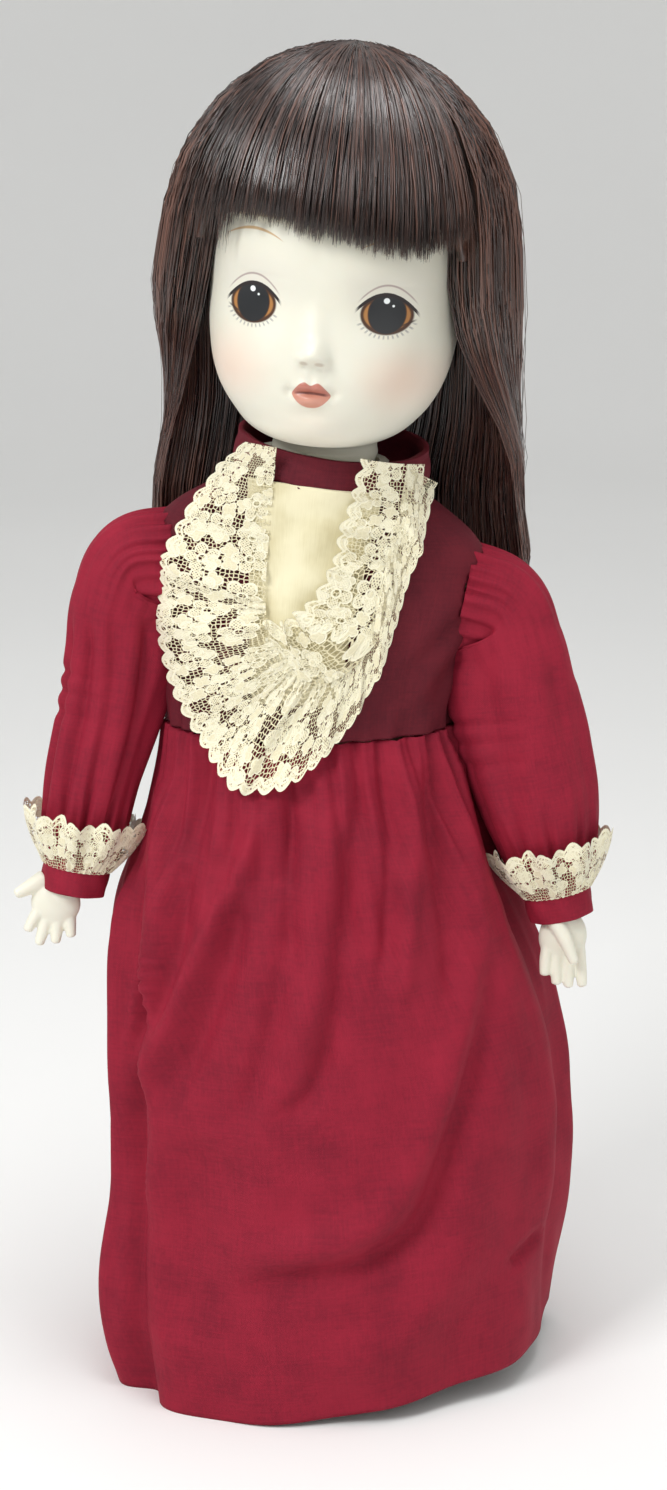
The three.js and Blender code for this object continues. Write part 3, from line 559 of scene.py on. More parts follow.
# Glossy fibre: each strand's own shade from u, streaks along v, warmer where the sides catch light.
def hairFibre(name):
    finish = Finish(name)
    u, v, _ = finish.split(finish.coordinates("UV"))
    x, y, z = finish.split(finish.coordinates("Object"))
    tone = finish.noise(finish.joined(u * 31.0, v * 0.5), 1.0, 2.0)
    each = (u * 937.0).math("FRACT")
    flank = finish.within((x - float(neckPlace[0])).math("ABSOLUTE"), 0.026, 0.05)
    dark = finish.mixed(each, colour(34, 24, 22), colour(58, 42, 38))
    fair = finish.mixed(each, colour(70, 45, 38), colour(116, 78, 64))
    share = finish.within(tone + each * 0.25 + flank * 0.24, 0.52, 0.95)
    finish.set(colour=finish.mixed(share, dark, fair), roughness=0.24 + 0.14 * each, specular=0.8)
    finish.set(coat=0.3, coatRoughness=0.2)
    return finish.material


# Paths of hair: down an ellipsoid from the crown to its rim, then straight down while easing back to a
# curtain behind the shoulders. Azimuths are in degrees, depth runs from 0 inside to 1 outside.
def hairPaths(azimuth, depth, start, tip, steps):
    given = (azimuth, depth, start, tip)
    azimuth, depth, start, tip = (np.asarray(value, float)[:, None] for value in given)
    s = np.linspace(0, 1, steps)[None]
    edge = np.arccos(np.clip((tip - hair["middle"]) / hair["high"], -1, 1))
    rim = np.where(tip > hair["middle"], edge, math.pi / 2)
    below = np.maximum(hair["middle"] - tip, 0)
    domeLong, hangLong = (rim - start) * 52, below * 1.1
    split = domeLong / (domeLong + hangLong)
    polar = start + (rim - start) * np.minimum(s / split, 1)
    hang = np.clip((s - split) / np.maximum(1 - split, 1e-6), 0, 1)
    inwards = 12.5 * (1 - depth)
    turn = np.radians(azimuth)
    z = hair["middle"] + (hair["high"] - 0.6 * inwards) * np.cos(polar) - hang * below
    low = np.minimum(z, hair["middle"])
    left, right = (through(hair["z"], hair[key], low) for key in ("wideLeft", "wideRight"))
    side = np.where(np.cos(turn) > 0, left, right)
    x = (side - inwards) * np.sin(polar) * np.cos(turn)
    y = (hair["deep"] - inwards) * np.sin(polar) * np.sin(turn)
    across = (azimuth - 90) / 126
    swing = smooth((336 - z) / 66) * (np.abs(across) <= 1.02)
    curtainX = -np.sin(np.clip(across, -1, 1) * math.pi / 2) * (side - 2.5 * (1 - depth))
    curtainY = 34 - 8 * np.abs(across) ** 2.2 + 8 * depth * (1 - 0.4 * np.minimum(np.abs(across), 1))
    return place(x * (1 - swing) + curtainX * swing, y * (1 - swing) + curtainY * swing, z)


# The head's place above the chin, easing into the chest's place lower down.
def hairPlace(p):
    share = smooth((306 - p[..., 2:]) / 46)
    return headPlace(p) * (1 - share) + upperPlace(p + np.array([figure["neckSide"], 0, 0])) * share


# The fringe's lower edge, in millimetres at each azimuth: higher at the doll's right temple.
fringe = {
    "azimuth": [-142, -132, -118, -104, -92, -80, -68, -56, -46, -38],
    "height": [352, 352, 352.5, 352, 349.5, 347.5, 346.4, 346.6, 349, 351],
}


# A smooth curve through the fringe's heights.
def fringeEdge(azimuth):
    return through(fringe["azimuth"], fringe["height"], azimuth)


# One lock: strands gathered in clumps, closer at their tips, some of them loose.
def hairLock(name, lock, material, steps):
    wild = np.random.default_rng(lock["seed"])
    count, clumps = lock["strands"], lock["clumps"]
    spread = (lock["to"] - lock["from"]) / clumps
    home = lock["from"] + (np.arange(clumps) + 0.5) * spread + wild.normal(0, 0.35 * spread, clumps)
    mine = wild.integers(0, clumps, count)
    within = wild.normal(0, 0.8 * spread, count)
    depth = np.clip(1 - wild.random(count) ** 1.25 * 0.96 + wild.normal(0, 0.03, clumps)[mine], 0, 1.04)
    azimuth = np.clip(home[mine] + within, lock["from"] - 1, lock["to"] + 1)
    base = fringeEdge(azimuth) if lock["tip"] is None else np.full(count, float(lock["tip"]))
    ragged = 0.9 if lock["tip"] is None else 2.6
    tip = base + wild.normal(0, ragged, clumps)[mine] + wild.normal(0, ragged * 0.7, count)
    if lock["tip"] is None:
        wisps = (azimuth < -124) & (wild.random(count) < 0.16)
        tip = tip - wisps * wild.uniform(2, 10, count)
        depth = 0.5 + 0.5 * depth
    start = np.abs(wild.normal(0.16, 0.14, count)) + (1 - depth) * 0.5
    paths = hairPaths(azimuth, depth, start, tip, steps)
    s = np.linspace(0, 1, steps)[None, :, None]
    pull = -(within[:, None, None] * 0.5) * s * math.radians(1) * 49
    facing = np.radians(azimuth)
    tangent = np.stack([-np.sin(facing), np.cos(facing), 0 * azimuth], -1)[:, None]
    phase = wild.random((2, clumps))[:, mine][..., None, None] * 2 * math.pi
    reach = wild.normal(0, 0.55, clumps)[mine][:, None, None] + wild.normal(0, 0.22, count)[:, None, None]
    paths = paths + tangent * (pull + reach * np.sin(2.3 * math.pi * s + phase[0]) * s)
    outwards = paths * np.array([1.0, 1.0, 0])
    outwards = outwards / (np.linalg.norm(outwards, axis=2, keepdims=True) + 1e-6)
    loose = (wild.random(count) < 0.02)[:, None, None] * wild.uniform(0.6, 2.6, count)[:, None, None]
    stray = loose * np.sin(math.pi * s) * (paths[..., 2:] > 280)
    paths = paths + outwards * (0.25 * reach * np.sin(1.7 * math.pi * s + phase[1]) + stray)
    fineness = np.where(loose[:, :, 0] > 0, 0.42, 1)
    radius = hair["strandRadius"] * wild.uniform(0.7, 1.15, count)[:, None] * fineness
    line = np.linspace(0, 1, steps)[None]
    radius = radius * np.minimum(1, 3.2 * (1 - line) + 0.12) * np.minimum(1, 5 * line + 0.35)
    return strandPiece(name, paths, radius, material, wild.random(count))


# Three-sided tubes along many paths at once: two directions across each path, a radius at each step.
def strandPiece(name, paths, radius, material, shade):
    count, steps = paths.shape[:2]
    along = np.gradient(paths, axis=1)
    along = along / (np.linalg.norm(along, axis=2, keepdims=True) + 1e-9)
    side = np.cross(along, paths * np.array([1.0, 1.0, 0.15]) + 1e-3)
    side = side / (np.linalg.norm(side, axis=2, keepdims=True) + 1e-9)
    lift = np.cross(along, side)
    turn = np.arange(3) * 2 * math.pi / 3 + math.pi / 6
    ring = np.cos(turn)[:, None] * side[:, :, None] + np.sin(turn)[:, None] * lift[:, :, None]
    points = hairPlace(paths[:, :, None] + radius[..., None, None] * ring)
    n, i, j = np.meshgrid(np.arange(count), np.arange(steps - 1), np.arange(3), indexing="ij")
    k = (j + 1) % 3
    first = (n * steps + i) * 3
    faces = np.stack([first + j, first + k, first + 3 + k, first + 3 + j], -1).reshape(-1, 4)
    up = np.stack([i, i, i + 1, i + 1], -1) / (steps - 1)
    uv = np.stack([np.broadcast_to(shade[n][..., None], up.shape), up], -1).reshape(-1, 2)
    ends = np.arange(count)[:, None] * steps * 3
    caps = [*(ends + np.array([2, 1, 0])), *(ends + (steps - 1) * 3 + np.array([0, 1, 2]))]
    return newPiece(name, points, faces, material, uv, caps)


# Foundation under the strands: the same paths laid side by side as a sheet, given a wall.
def hairBed(name, azimuths, depth, start, tip, steps, material, closed=False):
    count = len(azimuths)
    paths = hairPaths(azimuths, np.full(count, depth), np.full(count, start), tip, steps)
    grid = hairPlace(paths).transpose(1, 0, 2)
    uv = place(np.linspace(0, 40, count + 1)[None], np.linspace(0, 1, steps)[:, None], 0)[..., :2]
    return gridPiece(name, grid, material, closed, uv, flip=True)


# Long hair, laid with the head above the shoulders and with the chest below them: its placement is baked into its
# mesh.
def blendHair(piece):
    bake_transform(piece)


print("combing the wig")
fibre = hairFibre("wigFibre")
around = np.linspace(-180, 180, 120, endpoint=False)
bedTip = np.where((around > -142) & (around < -38), fringeEdge(np.clip(around, -142, -38)) + 5, 344.0)
wigDome = thicken(hairBed("wigDome", around, 0.55, 0.03, bedTip, 24, fibre, True), 1.6)
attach(wigDome, "head")
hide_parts("wig_crown")
backs = np.linspace(-22, 202, 90)
wigBack = thicken(hairBed("wigBack", backs, 0.42, 1.35, 229.0 + 2.0 * np.sin(backs * 0.7), 30, fibre), 1.2)
for name, lock, steps, node in (
    ("hairFringe", hairFringe, 9, "wig_fringe"),
    ("hairLeft", hairLeft, 13, "wig_left_lock"),
    ("hairRight", hairRight, 13, "wig_right_lock"),
    ("hairBackLeft", hairBackLeft, 13, "wig_back_hair"),
    ("hairBackRight", hairBackRight, 13, None),
):
    piece = hairLock(name, lock, fibre, steps)
    if node:
        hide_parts(node)
    if node == "wig_fringe":
        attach(piece, "head")
    else:
        blendHair(piece)
blendHair(wigBack)


# Dress: the tables are heights with half-width, front and back depth of each piece, in millimetres.
bodice = {
    "z": [205, 220, 236, 250, 260, 266, 272, 277.6],
    "wide": [42.4, 43.6, 46, 48.4, 48, 43, 34, 24],
    "front": [27.5, 28, 27, 23.5, 21, 20.5, 20.5, 21],
    "back": [25, 25, 24, 23.5, 21, 20.5, 20.5, 21],
    "armhole": (49.0, 250.0, 11.6),
}


# A point on a section's oval: half-width times cosine, front or back depth times sine.
def sectionPoint(table, z, angle, grow=0.0):
    wide, front, back = (through(table["z"], table[key], z) + grow for key in ("wide", "front", "back"))
    return wide * np.cos(angle), np.where(np.sin(angle) < 0, front, back) * np.sin(angle)


# Puckers fading from both seams of the bodice, drag folds from armhole to waist, plus the front's fullness.
def bodiceGrid(rows=100, columns=240):
    t = np.linspace(0, 1, rows)[:, None]
    angle = np.linspace(0, 2 * math.pi, columns, endpoint=False)[None] - math.pi / 2
    z = 205 + 72.6 * t
    seam = 0.55 * np.sin(26 * angle + 2 * np.sin(5 * angle)) * np.exp(-t * 7)
    drag = 0.9 * np.sin(6.5 * (np.abs(angle) * 2 + t * 3.4)) * bell((t - 0.32) / 0.3)
    drag = drag * np.abs(np.cos(angle)) ** 2
    tuck = 0.5 * np.sin(9 * angle + 9 * t) * bell((t - 0.12) / 0.16)
    x, y = sectionPoint(bodice, z, angle, seam + drag + tuck)
    dip = through([205, 260, 266, 272, 277.6], [0, 0, 0.04, 0.08, 0.11], z) * y
    return place(x, y, z + dip)


# Stand-up collar: a double band with soft creases across it, open only at its top and foot.
def collarGrid(rows=40, columns=200):
    t = np.linspace(0, 1, rows)[:, None]
    angle = np.linspace(0, 2 * math.pi, columns, endpoint=False)[None]
    out = np.sin(math.pi * np.clip(t * 1.25, 0, 1))
    crease = 0.35 * np.sin(angle * 7 + 3 * np.sin(angle * 2) + t * 3) * np.sin(math.pi * t)
    crease += 0.3 * np.sin(angle * 13 + t * 9) * (1 - t)
    x = (27.6 + out + crease) * np.cos(angle)
    y = (24.4 + out + crease) * np.sin(angle)
    z = 278.0 + 10.9 * t + 0.11 * y + 0.45 * np.sin(angle * 2 + 1) * t
    return place(x, y, z)


skirt = {
    "z": [0, 28, 60, 100, 127, 141, 154, 168, 182, 197, 204.6],
    "x": [0.6, -0.2, 1.7, 0.7, -2.7, -4.8, -6.1, -4.3, -1.8, -0.1, 0],
    "wide": [68, 71, 69.8, 68, 64.4, 61.2, 57.6, 52.2, 47.2, 43.6, 42.2],
    "front": [51, 50.5, 49.5, 48, 46, 44, 41.5, 38.5, 35, 31, 27.6],
    "back": [48, 48, 47, 45, 42, 40, 38, 35.5, 32, 28, 25],
    "yaw": 12.0,  # degrees the hem is turned, its right corner forward
    "rise": 9.0,  # how much higher the hem hangs at the doll's left
    "waistFolds": 34,
}

# Folds of the skirt's sides and back: angle from straight ahead at the fold's top and foot, its upper and
# lower height, its half-width in degrees and its depth.
skirtFolds = [
    (78, 72, 190, 10, 8.5, -3.2),
    (-62, -70, 170, 4, 5.6, -4.0),
    (-74, -78, 166, 12, 5.2, 3.4),
    (96, 92, 200, 0, 7.0, 3.2),
    (112, 110, 200, 0, 6.5, -3.8),
    (130, 128, 200, 0, 6.5, 3.4),
    (148, 146, 200, 0, 6.5, -3.6),
    (166, 166, 200, 0, 6.5, 3.6),
    (184, 186, 200, 0, 6.5, -3.8),
    (202, 204, 200, 0, 6.5, 3.4),
    (220, 222, 200, 0, 6.5, -3.6),
    (238, 240, 200, 0, 7.0, 3.2),
    (256, 258, 200, 0, 7.0, -3.0),
]


# Creases of the skirt's front: side distance and height along each, its half-width and its depth.
skirtCreases = [
    ([(12.0, 202.6), (16.1, 184.9), (17.7, 172.6), (16.7, 151.6), (14.8, 133.4)], 3.2, -3.6),
    ([(22.2, 201.2), (22.2, 175.5), (20.1, 145.6), (19.1, 130.4)], 4.0, 2.6),
    ([(8.1, 202.6), (7.0, 181.9), (3.8, 163.6), (1.0, 133.4), (-6.2, 105.7), (-17.0, 97.0)], 3.6, -3.4),
    ([(-1.0, 190.8), (-3.3, 169.6), (-4.4, 139.5), (-9.7, 115.0)], 6.5, 3.0),
    ([(49.8, 145.6), (42.3, 111.9), (34.5, 86.9), (26.0, 63.1), (10.8, 53.2), (-9.9, 48.0), (-30.6, 42.2)],
     4.6, -4.2),
    ([(43.5, 148.6), (35.9, 115.0), (28.1, 91.6), (18.9, 71.1), (4.8, 60.9), (-12.8, 55.8), (-32.0, 51.2)],
     6.5, 3.6),
    ([(-20.3, 190.8), (-23.6, 175.5), (-36.7, 148.6), (-51.5, 115.0), (-59.8, 93.2)], 3.2, 4.0),
    ([(-27.7, 163.6), (-30.7, 145.6), (-39.6, 121.2), (-50.4, 96.3)], 5.0, -4.4),
    ([(-47.9, 190.8), (-50.5, 172.6), (-52.4, 145.6), (-62.7, 93.2)], 3.0, 3.6),
    ([(-44.1, 169.6), (-46.1, 145.6), (-54.1, 115.0)], 3.6, -3.2),
    ([(-37.4, 90.1), (-40.4, 58.3), (-43.3, 22.6)], 13.0, -4.4),
    ([(-12.4, 163.6), (-14.7, 139.5), (-20.6, 115.0), (-28.3, 93.2)], 4.0, -3.0),
    ([(-9.5, 196.8), (-12.4, 176.0), (-15.2, 163.6)], 3.4, -2.6),
    ([(27.9, 199.7), (30.1, 175.5), (33.8, 148.6), (35.2, 127.3)], 3.2, -3.2),
    ([(33.5, 202.6), (38.6, 175.5), (43.5, 148.6)], 3.4, 2.6),
    ([(53.1, 41.5), (64.2, 48.3)], 2.4, -2.2),
    ([(40.2, 55.1), (19.8, 29.2), (-10.0, 16.0)], 9.0, 2.4),
    ([(-56.6, 77.5), (-60.7, 45.4), (-62.6, 12.7)], 4.0, 2.4),
    ([(-36.1, 202.1), (-39.1, 184.9), (-44.1, 169.6)], 3.0, -2.6),
    ([(-28.7, 201.2), (-30.6, 184.9), (-33.9, 169.6)], 3.2, 2.2),
]


# How far creases push the cloth out: a bell of the distance to each crease's line, fading at its ends.
def creasePush(points):
    across = 1000 * (points[..., 0] - hipPlace[0])
    height = 1000 * (points[..., 2] - hipPlace[2]) + figure["hipHeight"]
    push = np.zeros(across.shape)
    for line, half, depth in skirtCreases:
        steps = np.linspace(0, 1, 9 * len(line))
        way = through(np.linspace(0, 1, len(line)), np.array(line), steps)
        ends = np.minimum(1, 5 * np.minimum(steps + 0.03, 1.03 - steps))
        reach = np.hypot(across[..., None] - way[:, 0], height[..., None] - way[:, 1])
        nearest = reach.argmin(-1)
        push = push + depth * ends[nearest] * bell(reach.min(-1) / half)
    return push * (points[..., 1] < hipPlace[1])


# Skirt: the table's ovals; fine gathers fading below the waist; bell-shaped folds sliding from their upper
# to their lower angle; a crumple of slow waves; hem turned and raised. Creases come in as grow.
def skirtGrid(table, folds, rows=150, columns=330, full=1.0, grow=0.0):
    t = np.linspace(0, 1, rows)[:, None]
    z = table["z"][-1] * (1 - t)
    angle = np.linspace(0, 2 * math.pi, columns, endpoint=False)[None] + 0 * t
    ahead = (np.degrees(angle) + 180) % 360 - 180
    drop = (205 - z) / 205
    push = np.zeros_like(z + angle)
    for top, foot, high, low, half, depth in folds:
        along = np.clip((high - z) / (high - low), 0, 1)
        centre = top + (foot - top) * along + 1.6 * np.sin(z / 17 + top)
        off = (ahead - centre + 180) % 360 - 180
        wide = half * (0.75 + 0.5 * along)
        fade = smooth((high + 6 - z) / 26) * (1 - smooth((low - z) / 24) * 0.85)
        push = push + 1.55 * depth * full * fade * (bell(off / wide) - 0.45 * bell(off / (wide * 2.4)))
    gathers = np.sin(table["waistFolds"] * angle + 1.7 * np.sin(5 * angle) + z / 40)
    gathers = (gathers + 0.35 * np.sin(2.1 * table["waistFolds"] * angle)) * np.exp(-drop * 5.2) * 1.25
    crumple = 0.8 * np.sin(ahead / 9 + z / 21) * np.sin(z / 31 - ahead / 23)
    crumple = crumple + 0.5 * np.sin(ahead / 5 - z / 15)
    crumple = crumple + 0.32 * np.sin(ahead / 2.6 + z / 9) * np.sin(z / 13)
    behind = smooth((np.abs(ahead) - 70) / 40)
    lower = (0.35 + 1.5 * behind) * np.sin(np.radians(ahead) * 11 + 1.2 * np.sin(z / 33))
    lower = lower * smooth((drop - 0.45) / 0.5) * full
    push = push + gathers + crumple * smooth(drop * 4) * full + lower + grow
    turned = angle - math.pi / 2
    wide, front, back = (through(table["z"], table[key], z) for key in ("wide", "front", "back"))
    x = (wide + push) * np.cos(turned)
    y = (np.where(np.sin(turned) < 0, front, back) + push) * np.sin(turned)
    yaw = math.radians(table["yaw"]) * drop
    x, y = x * np.cos(yaw) - y * np.sin(yaw), x * np.sin(yaw) + y * np.cos(yaw)
    rise = table["rise"] * smooth((x + 40) / 106) * drop
    x = x + through(table["z"], table["x"], z)
    return place(x, y, z + rise)


arms = {
    "left": {"side": 1, "elbow": (68, -4, 202.5), "wrist": (82, -8, 160.6), "pleats": 0.35,
             "sleeve": [12.6, 12.8, 13.6, 16, 17.6, 17.4, 13.6, 9.4], "frill": [10.4, 14.4, 17.2, 18.6]},
    "right": {"side": -1, "elbow": (58.5, -4, 199), "wrist": (61.7, -9, 152.3), "pleats": 1.0,
              "sleeve": [12.6, 12.6, 12.4, 13.4, 14, 14, 12.4, 9.4], "frill": [10.4, 14.2, 16.6, 17.6]},
}


# A point of an arm, mirrored to its side.
def armPoint(arm, point):
    return np.array([point[0] * arm["side"], point[1], point[2]], float)


# A point on the straight from elbow to wrist, by its share of the way.
def armLine(arm, t):
    return armPoint(arm, arm["elbow"]) * (1 - t) + armPoint(arm, arm["wrist"]) * t


# Rings along a limb: centres and radii threaded through stations, each ring square to the line.
def limbRings(centres, directions, reachOut, reachUp, columns):
    ahead = np.array([0.0, -1.0, 0.0])
    flat = ahead - directions * (directions @ ahead)[:, None]
    flat = flat / np.linalg.norm(flat, axis=1, keepdims=True)
    up = np.cross(directions, flat)
    turn = np.linspace(0, 2 * math.pi, columns, endpoint=False)
    outwards = reachOut[..., None] * np.cos(turn)[None, :, None] * flat[:, None]
    return centres[:, None] + outwards + reachUp[..., None] * np.sin(turn)[None, :, None] * up[:, None]


# Sleeve: eight stations from armhole to cuff. Cap gathers and cuff gathers are sines round the ring that
# fade along it; long pleats are bells round the ring; elbow creases are bells along it on the inner side.
def sleeveGrid(arm, rows=150, columns=170):
    side = arm["side"]
    cap = np.array([56.0 * side, -0.5, 244])
    elbow = armPoint(arm, arm["elbow"])
    high = lambda t: cap * (1 - t) + elbow * t
    stations = np.array([
        [42.5 * side, 0, 250], [53.5 * side, 0, 247.5],
        high(0.2) + [1.5 * side, 0, 0], high(0.55) + [0.5 * side, 0, 0], high(0.98),
        armLine(arm, 0.38), armLine(arm, 0.7), armLine(arm, 0.935)])
    knots = np.array([0, 0.09, 0.22, 0.42, 0.62, 0.76, 0.88, 1.0])
    t = np.linspace(0, 1, rows)
    centres = through(knots, stations, t)
    radius = through(knots, np.array(arm["sleeve"], float), t)
    ways = np.gradient(centres, axis=0)
    ways = ways / np.linalg.norm(ways, axis=1, keepdims=True)
    tilt = smooth((t - 0.02) / 0.2)[:, None]
    ways = ways * tilt + np.array([side, 0, -0.1]) * (1 - tilt)
    ways = ways / np.linalg.norm(ways, axis=1, keepdims=True)
    turn = np.linspace(0, 2 * math.pi, columns, endpoint=False)[None]
    t = t[:, None]
    cap = (0.5 * np.sin(23 * turn + 2 * np.sin(3 * turn)) + 0.35 * np.sin(11 * turn)) * np.exp(-t * 9) * 1.5
    cuff = 0.85 * np.sin(19 * turn + 1.6 * np.sin(2 * turn)) + 0.4 * np.sin(31 * turn)
    cuff = cuff * smooth((t - 0.7) / 0.26) * 1.15
    around = np.degrees(turn) + 180 + 14 * np.sin(3 * t)
    pleats = sum(bell(((around - at) % 360 - 180) / 8.5) for at in (-28, 6, 42, 78))
    pleats = -2.3 * arm["pleats"] * pleats * smooth((t - 0.2) / 0.22) * (1 - smooth((t - 0.95) / 0.05))
    long = 0.9 * np.sin(5 * turn + 5 * t) * bell((t - 0.5) / 0.28)
    long = long + 0.5 * np.sin(9 * turn - 7 * t) * bell((t - 0.68) / 0.2)
    crook = sum(-0.9 * bell((t - at) / 0.016, (np.degrees(turn) - 90) / 70) for at in (0.5, 0.56, 0.62))
    swell = radius[:, None] + cap + cuff + pleats + long + crook
    flatten = 1 - 0.1 * bell((t - 0.55) / 0.25)
    under = through([0, 0.1, 0.22, 0.42, 0.58, 0.75, 1], [1.75, 1.7, 1.6, 1.4, 1.22, 1.0, 1.0], t)
    drop = 1 + (under - 1) * (np.sin(turn) * side > 0)
    return limbRings(centres, ways, swell * flatten, swell * drop, columns)


# Cuff band: a short tube with a soft edge, slightly crumpled.
def cuffGrid(arm, rows=26, columns=160):
    along = armLine(arm, 1) - armLine(arm, 0)
    along = along / np.linalg.norm(along)
    t = np.linspace(0, 1, rows)
    centres = armLine(arm, 0.92) + (t[:, None] * 9.8 - 0.6) * along
    turn = np.linspace(0, 2 * math.pi, columns, endpoint=False)[None]
    radius = 9.5 + 0.5 * np.sin(math.pi * t[:, None]) + 0.22 * np.sin(7 * turn + 4 * t[:, None])
    return limbRings(centres, np.repeat(along[None], rows, 0), radius, radius, columns)


# Prints a sheet's own measures: its widest row by its mean length, and its area as modelled.
def declareCloth(piece, points, closed):
    ring = np.concatenate([points, points[:, :1]], 1) if closed else points
    across, along = np.diff(ring, axis=1)[:-1], np.diff(ring, axis=0)[:, :-1]
    width = float(np.linalg.norm(across, axis=2).sum(1).max())
    length = float(np.linalg.norm(along, axis=2).sum(0).mean())
    area = float(np.linalg.norm(np.cross(across, along), axis=2).sum())
    area = min(max(area, 0.31 * width * length), width * length)
    sizes = (round(1000 * width), "by", round(1000 * length), "mm, area", round(1e4 * area, 1), "cm2")
    print("cloth", piece.name, "flat", *sizes)


# A tube of cloth from its rows of points, with a wall's thickness in millimetres.
def clothTube(name, points, material, wall, flip=False):
    return thicken(gridPiece(name, points, material, True, measuredUv(points, True), flip=flip), wall)


# Bakes a piece's placement into its mesh.
def blendHips(piece):
    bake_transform(piece)


print("sewing the dress")
crimson = wovenCotton("burgundyCotton", colour(150, 26, 50), colour(116, 19, 40), 0.00062, 0.22, 0.3)
crimsonDark = wovenCotton("burgundyBodice", colour(108, 27, 40), colour(80, 20, 32), 0.00062, 0.18, 0.3)

bodiceFlat = bodiceGrid()
_, armholeZ, armholeRadius = bodice["armhole"]
bodicePoints = spinePlace(bodiceFlat)


# Faces more than 38 mm off the middle that lie inside the armhole's circle, seen from the side.
def overArmhole(grid):
    faces, _ = gridFaces(grid.shape[0], grid.shape[1], True)
    middle = grid.reshape(-1, 3)[faces].mean(1)
    return (np.abs(middle[:, 0]) > 38) & (np.hypot(middle[:, 1], middle[:, 2] - armholeZ) < armholeRadius)


cutAway = overArmhole(bodiceFlat)
bodiceUv = measuredUv(bodicePoints, True)
dressBodice = gridPiece("dressBodice", bodicePoints, crimsonDark, True, bodiceUv, holes=lambda _: cutAway)
thicken(dressBodice, 0.9)
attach(dressBodice, "torso")
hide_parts("dress_bodice")
declareCloth(dressBodice, bodicePoints, True)

collarPoints = upperPlace(collarGrid())
dressCollar = clothTube("dressCollar", collarPoints, crimsonDark, 1.6)
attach(dressCollar, "torso")
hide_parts("dress_collar")

smoothSkirt = spinePlace(skirtGrid(skirt, skirtFolds))
skirtPoints = spinePlace(skirtGrid(skirt, skirtFolds, grow=creasePush(smoothSkirt)))
dressSkirt = clothTube("dressSkirt", skirtPoints, crimson, 0.8, True)
blendHips(dressSkirt)
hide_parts("skirt")
declareCloth(dressSkirt, skirtPoints, True)

for name, arm in arms.items():
    points = upperPlace(sleeveGrid(arm))
    sleeve = clothTube(name + "Sleeve", points, crimson, 0.8)
    way = armPoint(arm, arm["wrist"]) - armPoint(arm, arm["elbow"])
    middle = armPoint(arm, arm["elbow"])
    start, end = upperPlace(middle + np.array([0, 0, 9.0])), upperPlace(middle + way * 0.25)
    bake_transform(sleeve)
    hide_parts(name + "_sleeve")
    declareCloth(sleeve, points, True)
    points = upperPlace(cuffGrid(arm))
    cuff = clothTube(name + "Cuff", points, crimson, 1.2)
    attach(cuff, name + "_forearm")
    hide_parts(name + "_cuff")


# Lace, in millimetres of its own pattern: u along the edge and v in from it. Net threads are the walls of
# small cells; flowers and leaves sit at the middles of large cells; a dense border follows the scallops.
def flowerLace(name, light, dim):
    finish = Finish(name)
    u, v, _ = finish.split(finish.coordinates("UV"))
    along, inwards = u * 1000.0, v * 1000.0
    flat = finish.joined(along, inwards)
    cells = {"voronoi_dimensions": "2D", "feature": "DISTANCE_TO_EDGE"}
    net = finish.node("ShaderNodeTexVoronoi", cells, {"Vector": flat, "Scale": 0.86, "Randomness": 0.55})[0]
    threads = 1.0 - finish.within(net, 0.085, 0.15)

    def motif(scale, randomness, radius, petals, shift):
        moved = finish.joined(along + shift, inwards + shift * 0.37)
        places = {"voronoi_dimensions": "2D", "feature": "F1"}
        inputs = {"Vector": moved, "Scale": scale, "Randomness": randomness}
        made = finish.node("ShaderNodeTexVoronoi", places, inputs)
        centreX, centreY, _ = finish.split(made[2])
        dx, dy = along + shift - centreX, inwards + shift * 0.37 - centreY
        far = (dx * dx + dy * dy).math("SQRT")
        wave = (dy.math("ARCTAN2", dx) * (petals / 2) + centreX * 3.0).math("COSINE").math("ABSOLUTE")
        return far, wave, radius * (0.6 + 0.4 * wave)

    far, wave, rim = motif(0.1, 0.55, 4.5, 5.0, 0.0)
    petal = 1.0 - finish.within(far - rim, -0.12, 0.12)
    outline = finish.near(far - rim, 0.22, 0.42)
    heart = finish.near(far - 1.15, 0.2, 0.38)
    ribs = finish.within(wave, 0.25, 0.5) * finish.within(far, 1.2, 1.5)
    weave = finish.within((along * 7.5).math("SINE") * (inwards * 7.5).math("SINE"), -0.75, -0.3)
    flower = petal * ribs * weave
    leafFar, _, leafRim = motif(0.155, 0.9, 2.3, 4.0, 41.0)
    leaf = 1.0 - finish.within(leafFar - leafRim, -0.12, 0.12)
    leafLine = finish.near(leafFar - leafRim, 0.15, 0.32)
    bow = (along * (math.pi / 5.6)).math("SINE").math("ABSOLUTE")
    edge = inwards - 1.9 + 1.9 * bow
    border = finish.near(edge - 0.55, 0.35, 0.55).math("MAXIMUM", finish.near(edge - 2.3, 0.25, 0.42))
    pips = (along * (2 * math.pi / 1.4)).math("SINE") * finish.near(edge - 1.4, 0.4, 0.6)
    cords = outline.math("MAXIMUM", heart).math("MAXIMUM", border).math("MAXIMUM", leafLine)
    solid = flower.math("MAXIMUM", leaf * 0.96).math("MAXIMUM", cords)
    solid = solid.math("MAXIMUM", threads).math("MAXIMUM", finish.within(pips, 0.0, 0.3))
    present = finish.within(edge, -0.06, 0.06)
    fuzz = finish.noise(finish.joined(along * 3.0, inwards * 3.0), 1.0, 2.0)
    raised = cords * 0.9 + flower * 0.5 + leaf * 0.4 + fuzz * 0.25 + threads * 0.15
    finish.set(colour=finish.mixed(raised * 0.8 + fuzz * 0.25, dim, light), alpha=solid * present)
    finish.set(roughness=0.72 - 0.1 * cords, sheen=0.3, sheenRoughness=0.5, specular=0.25)
    finish.set(subsurface=0.1, subsurfaceRadius=(1.0, 0.9, 0.6), subsurfaceScale=0.001)
    finish.bumped(raised, 0.5, 0.0004)
    return finish.material


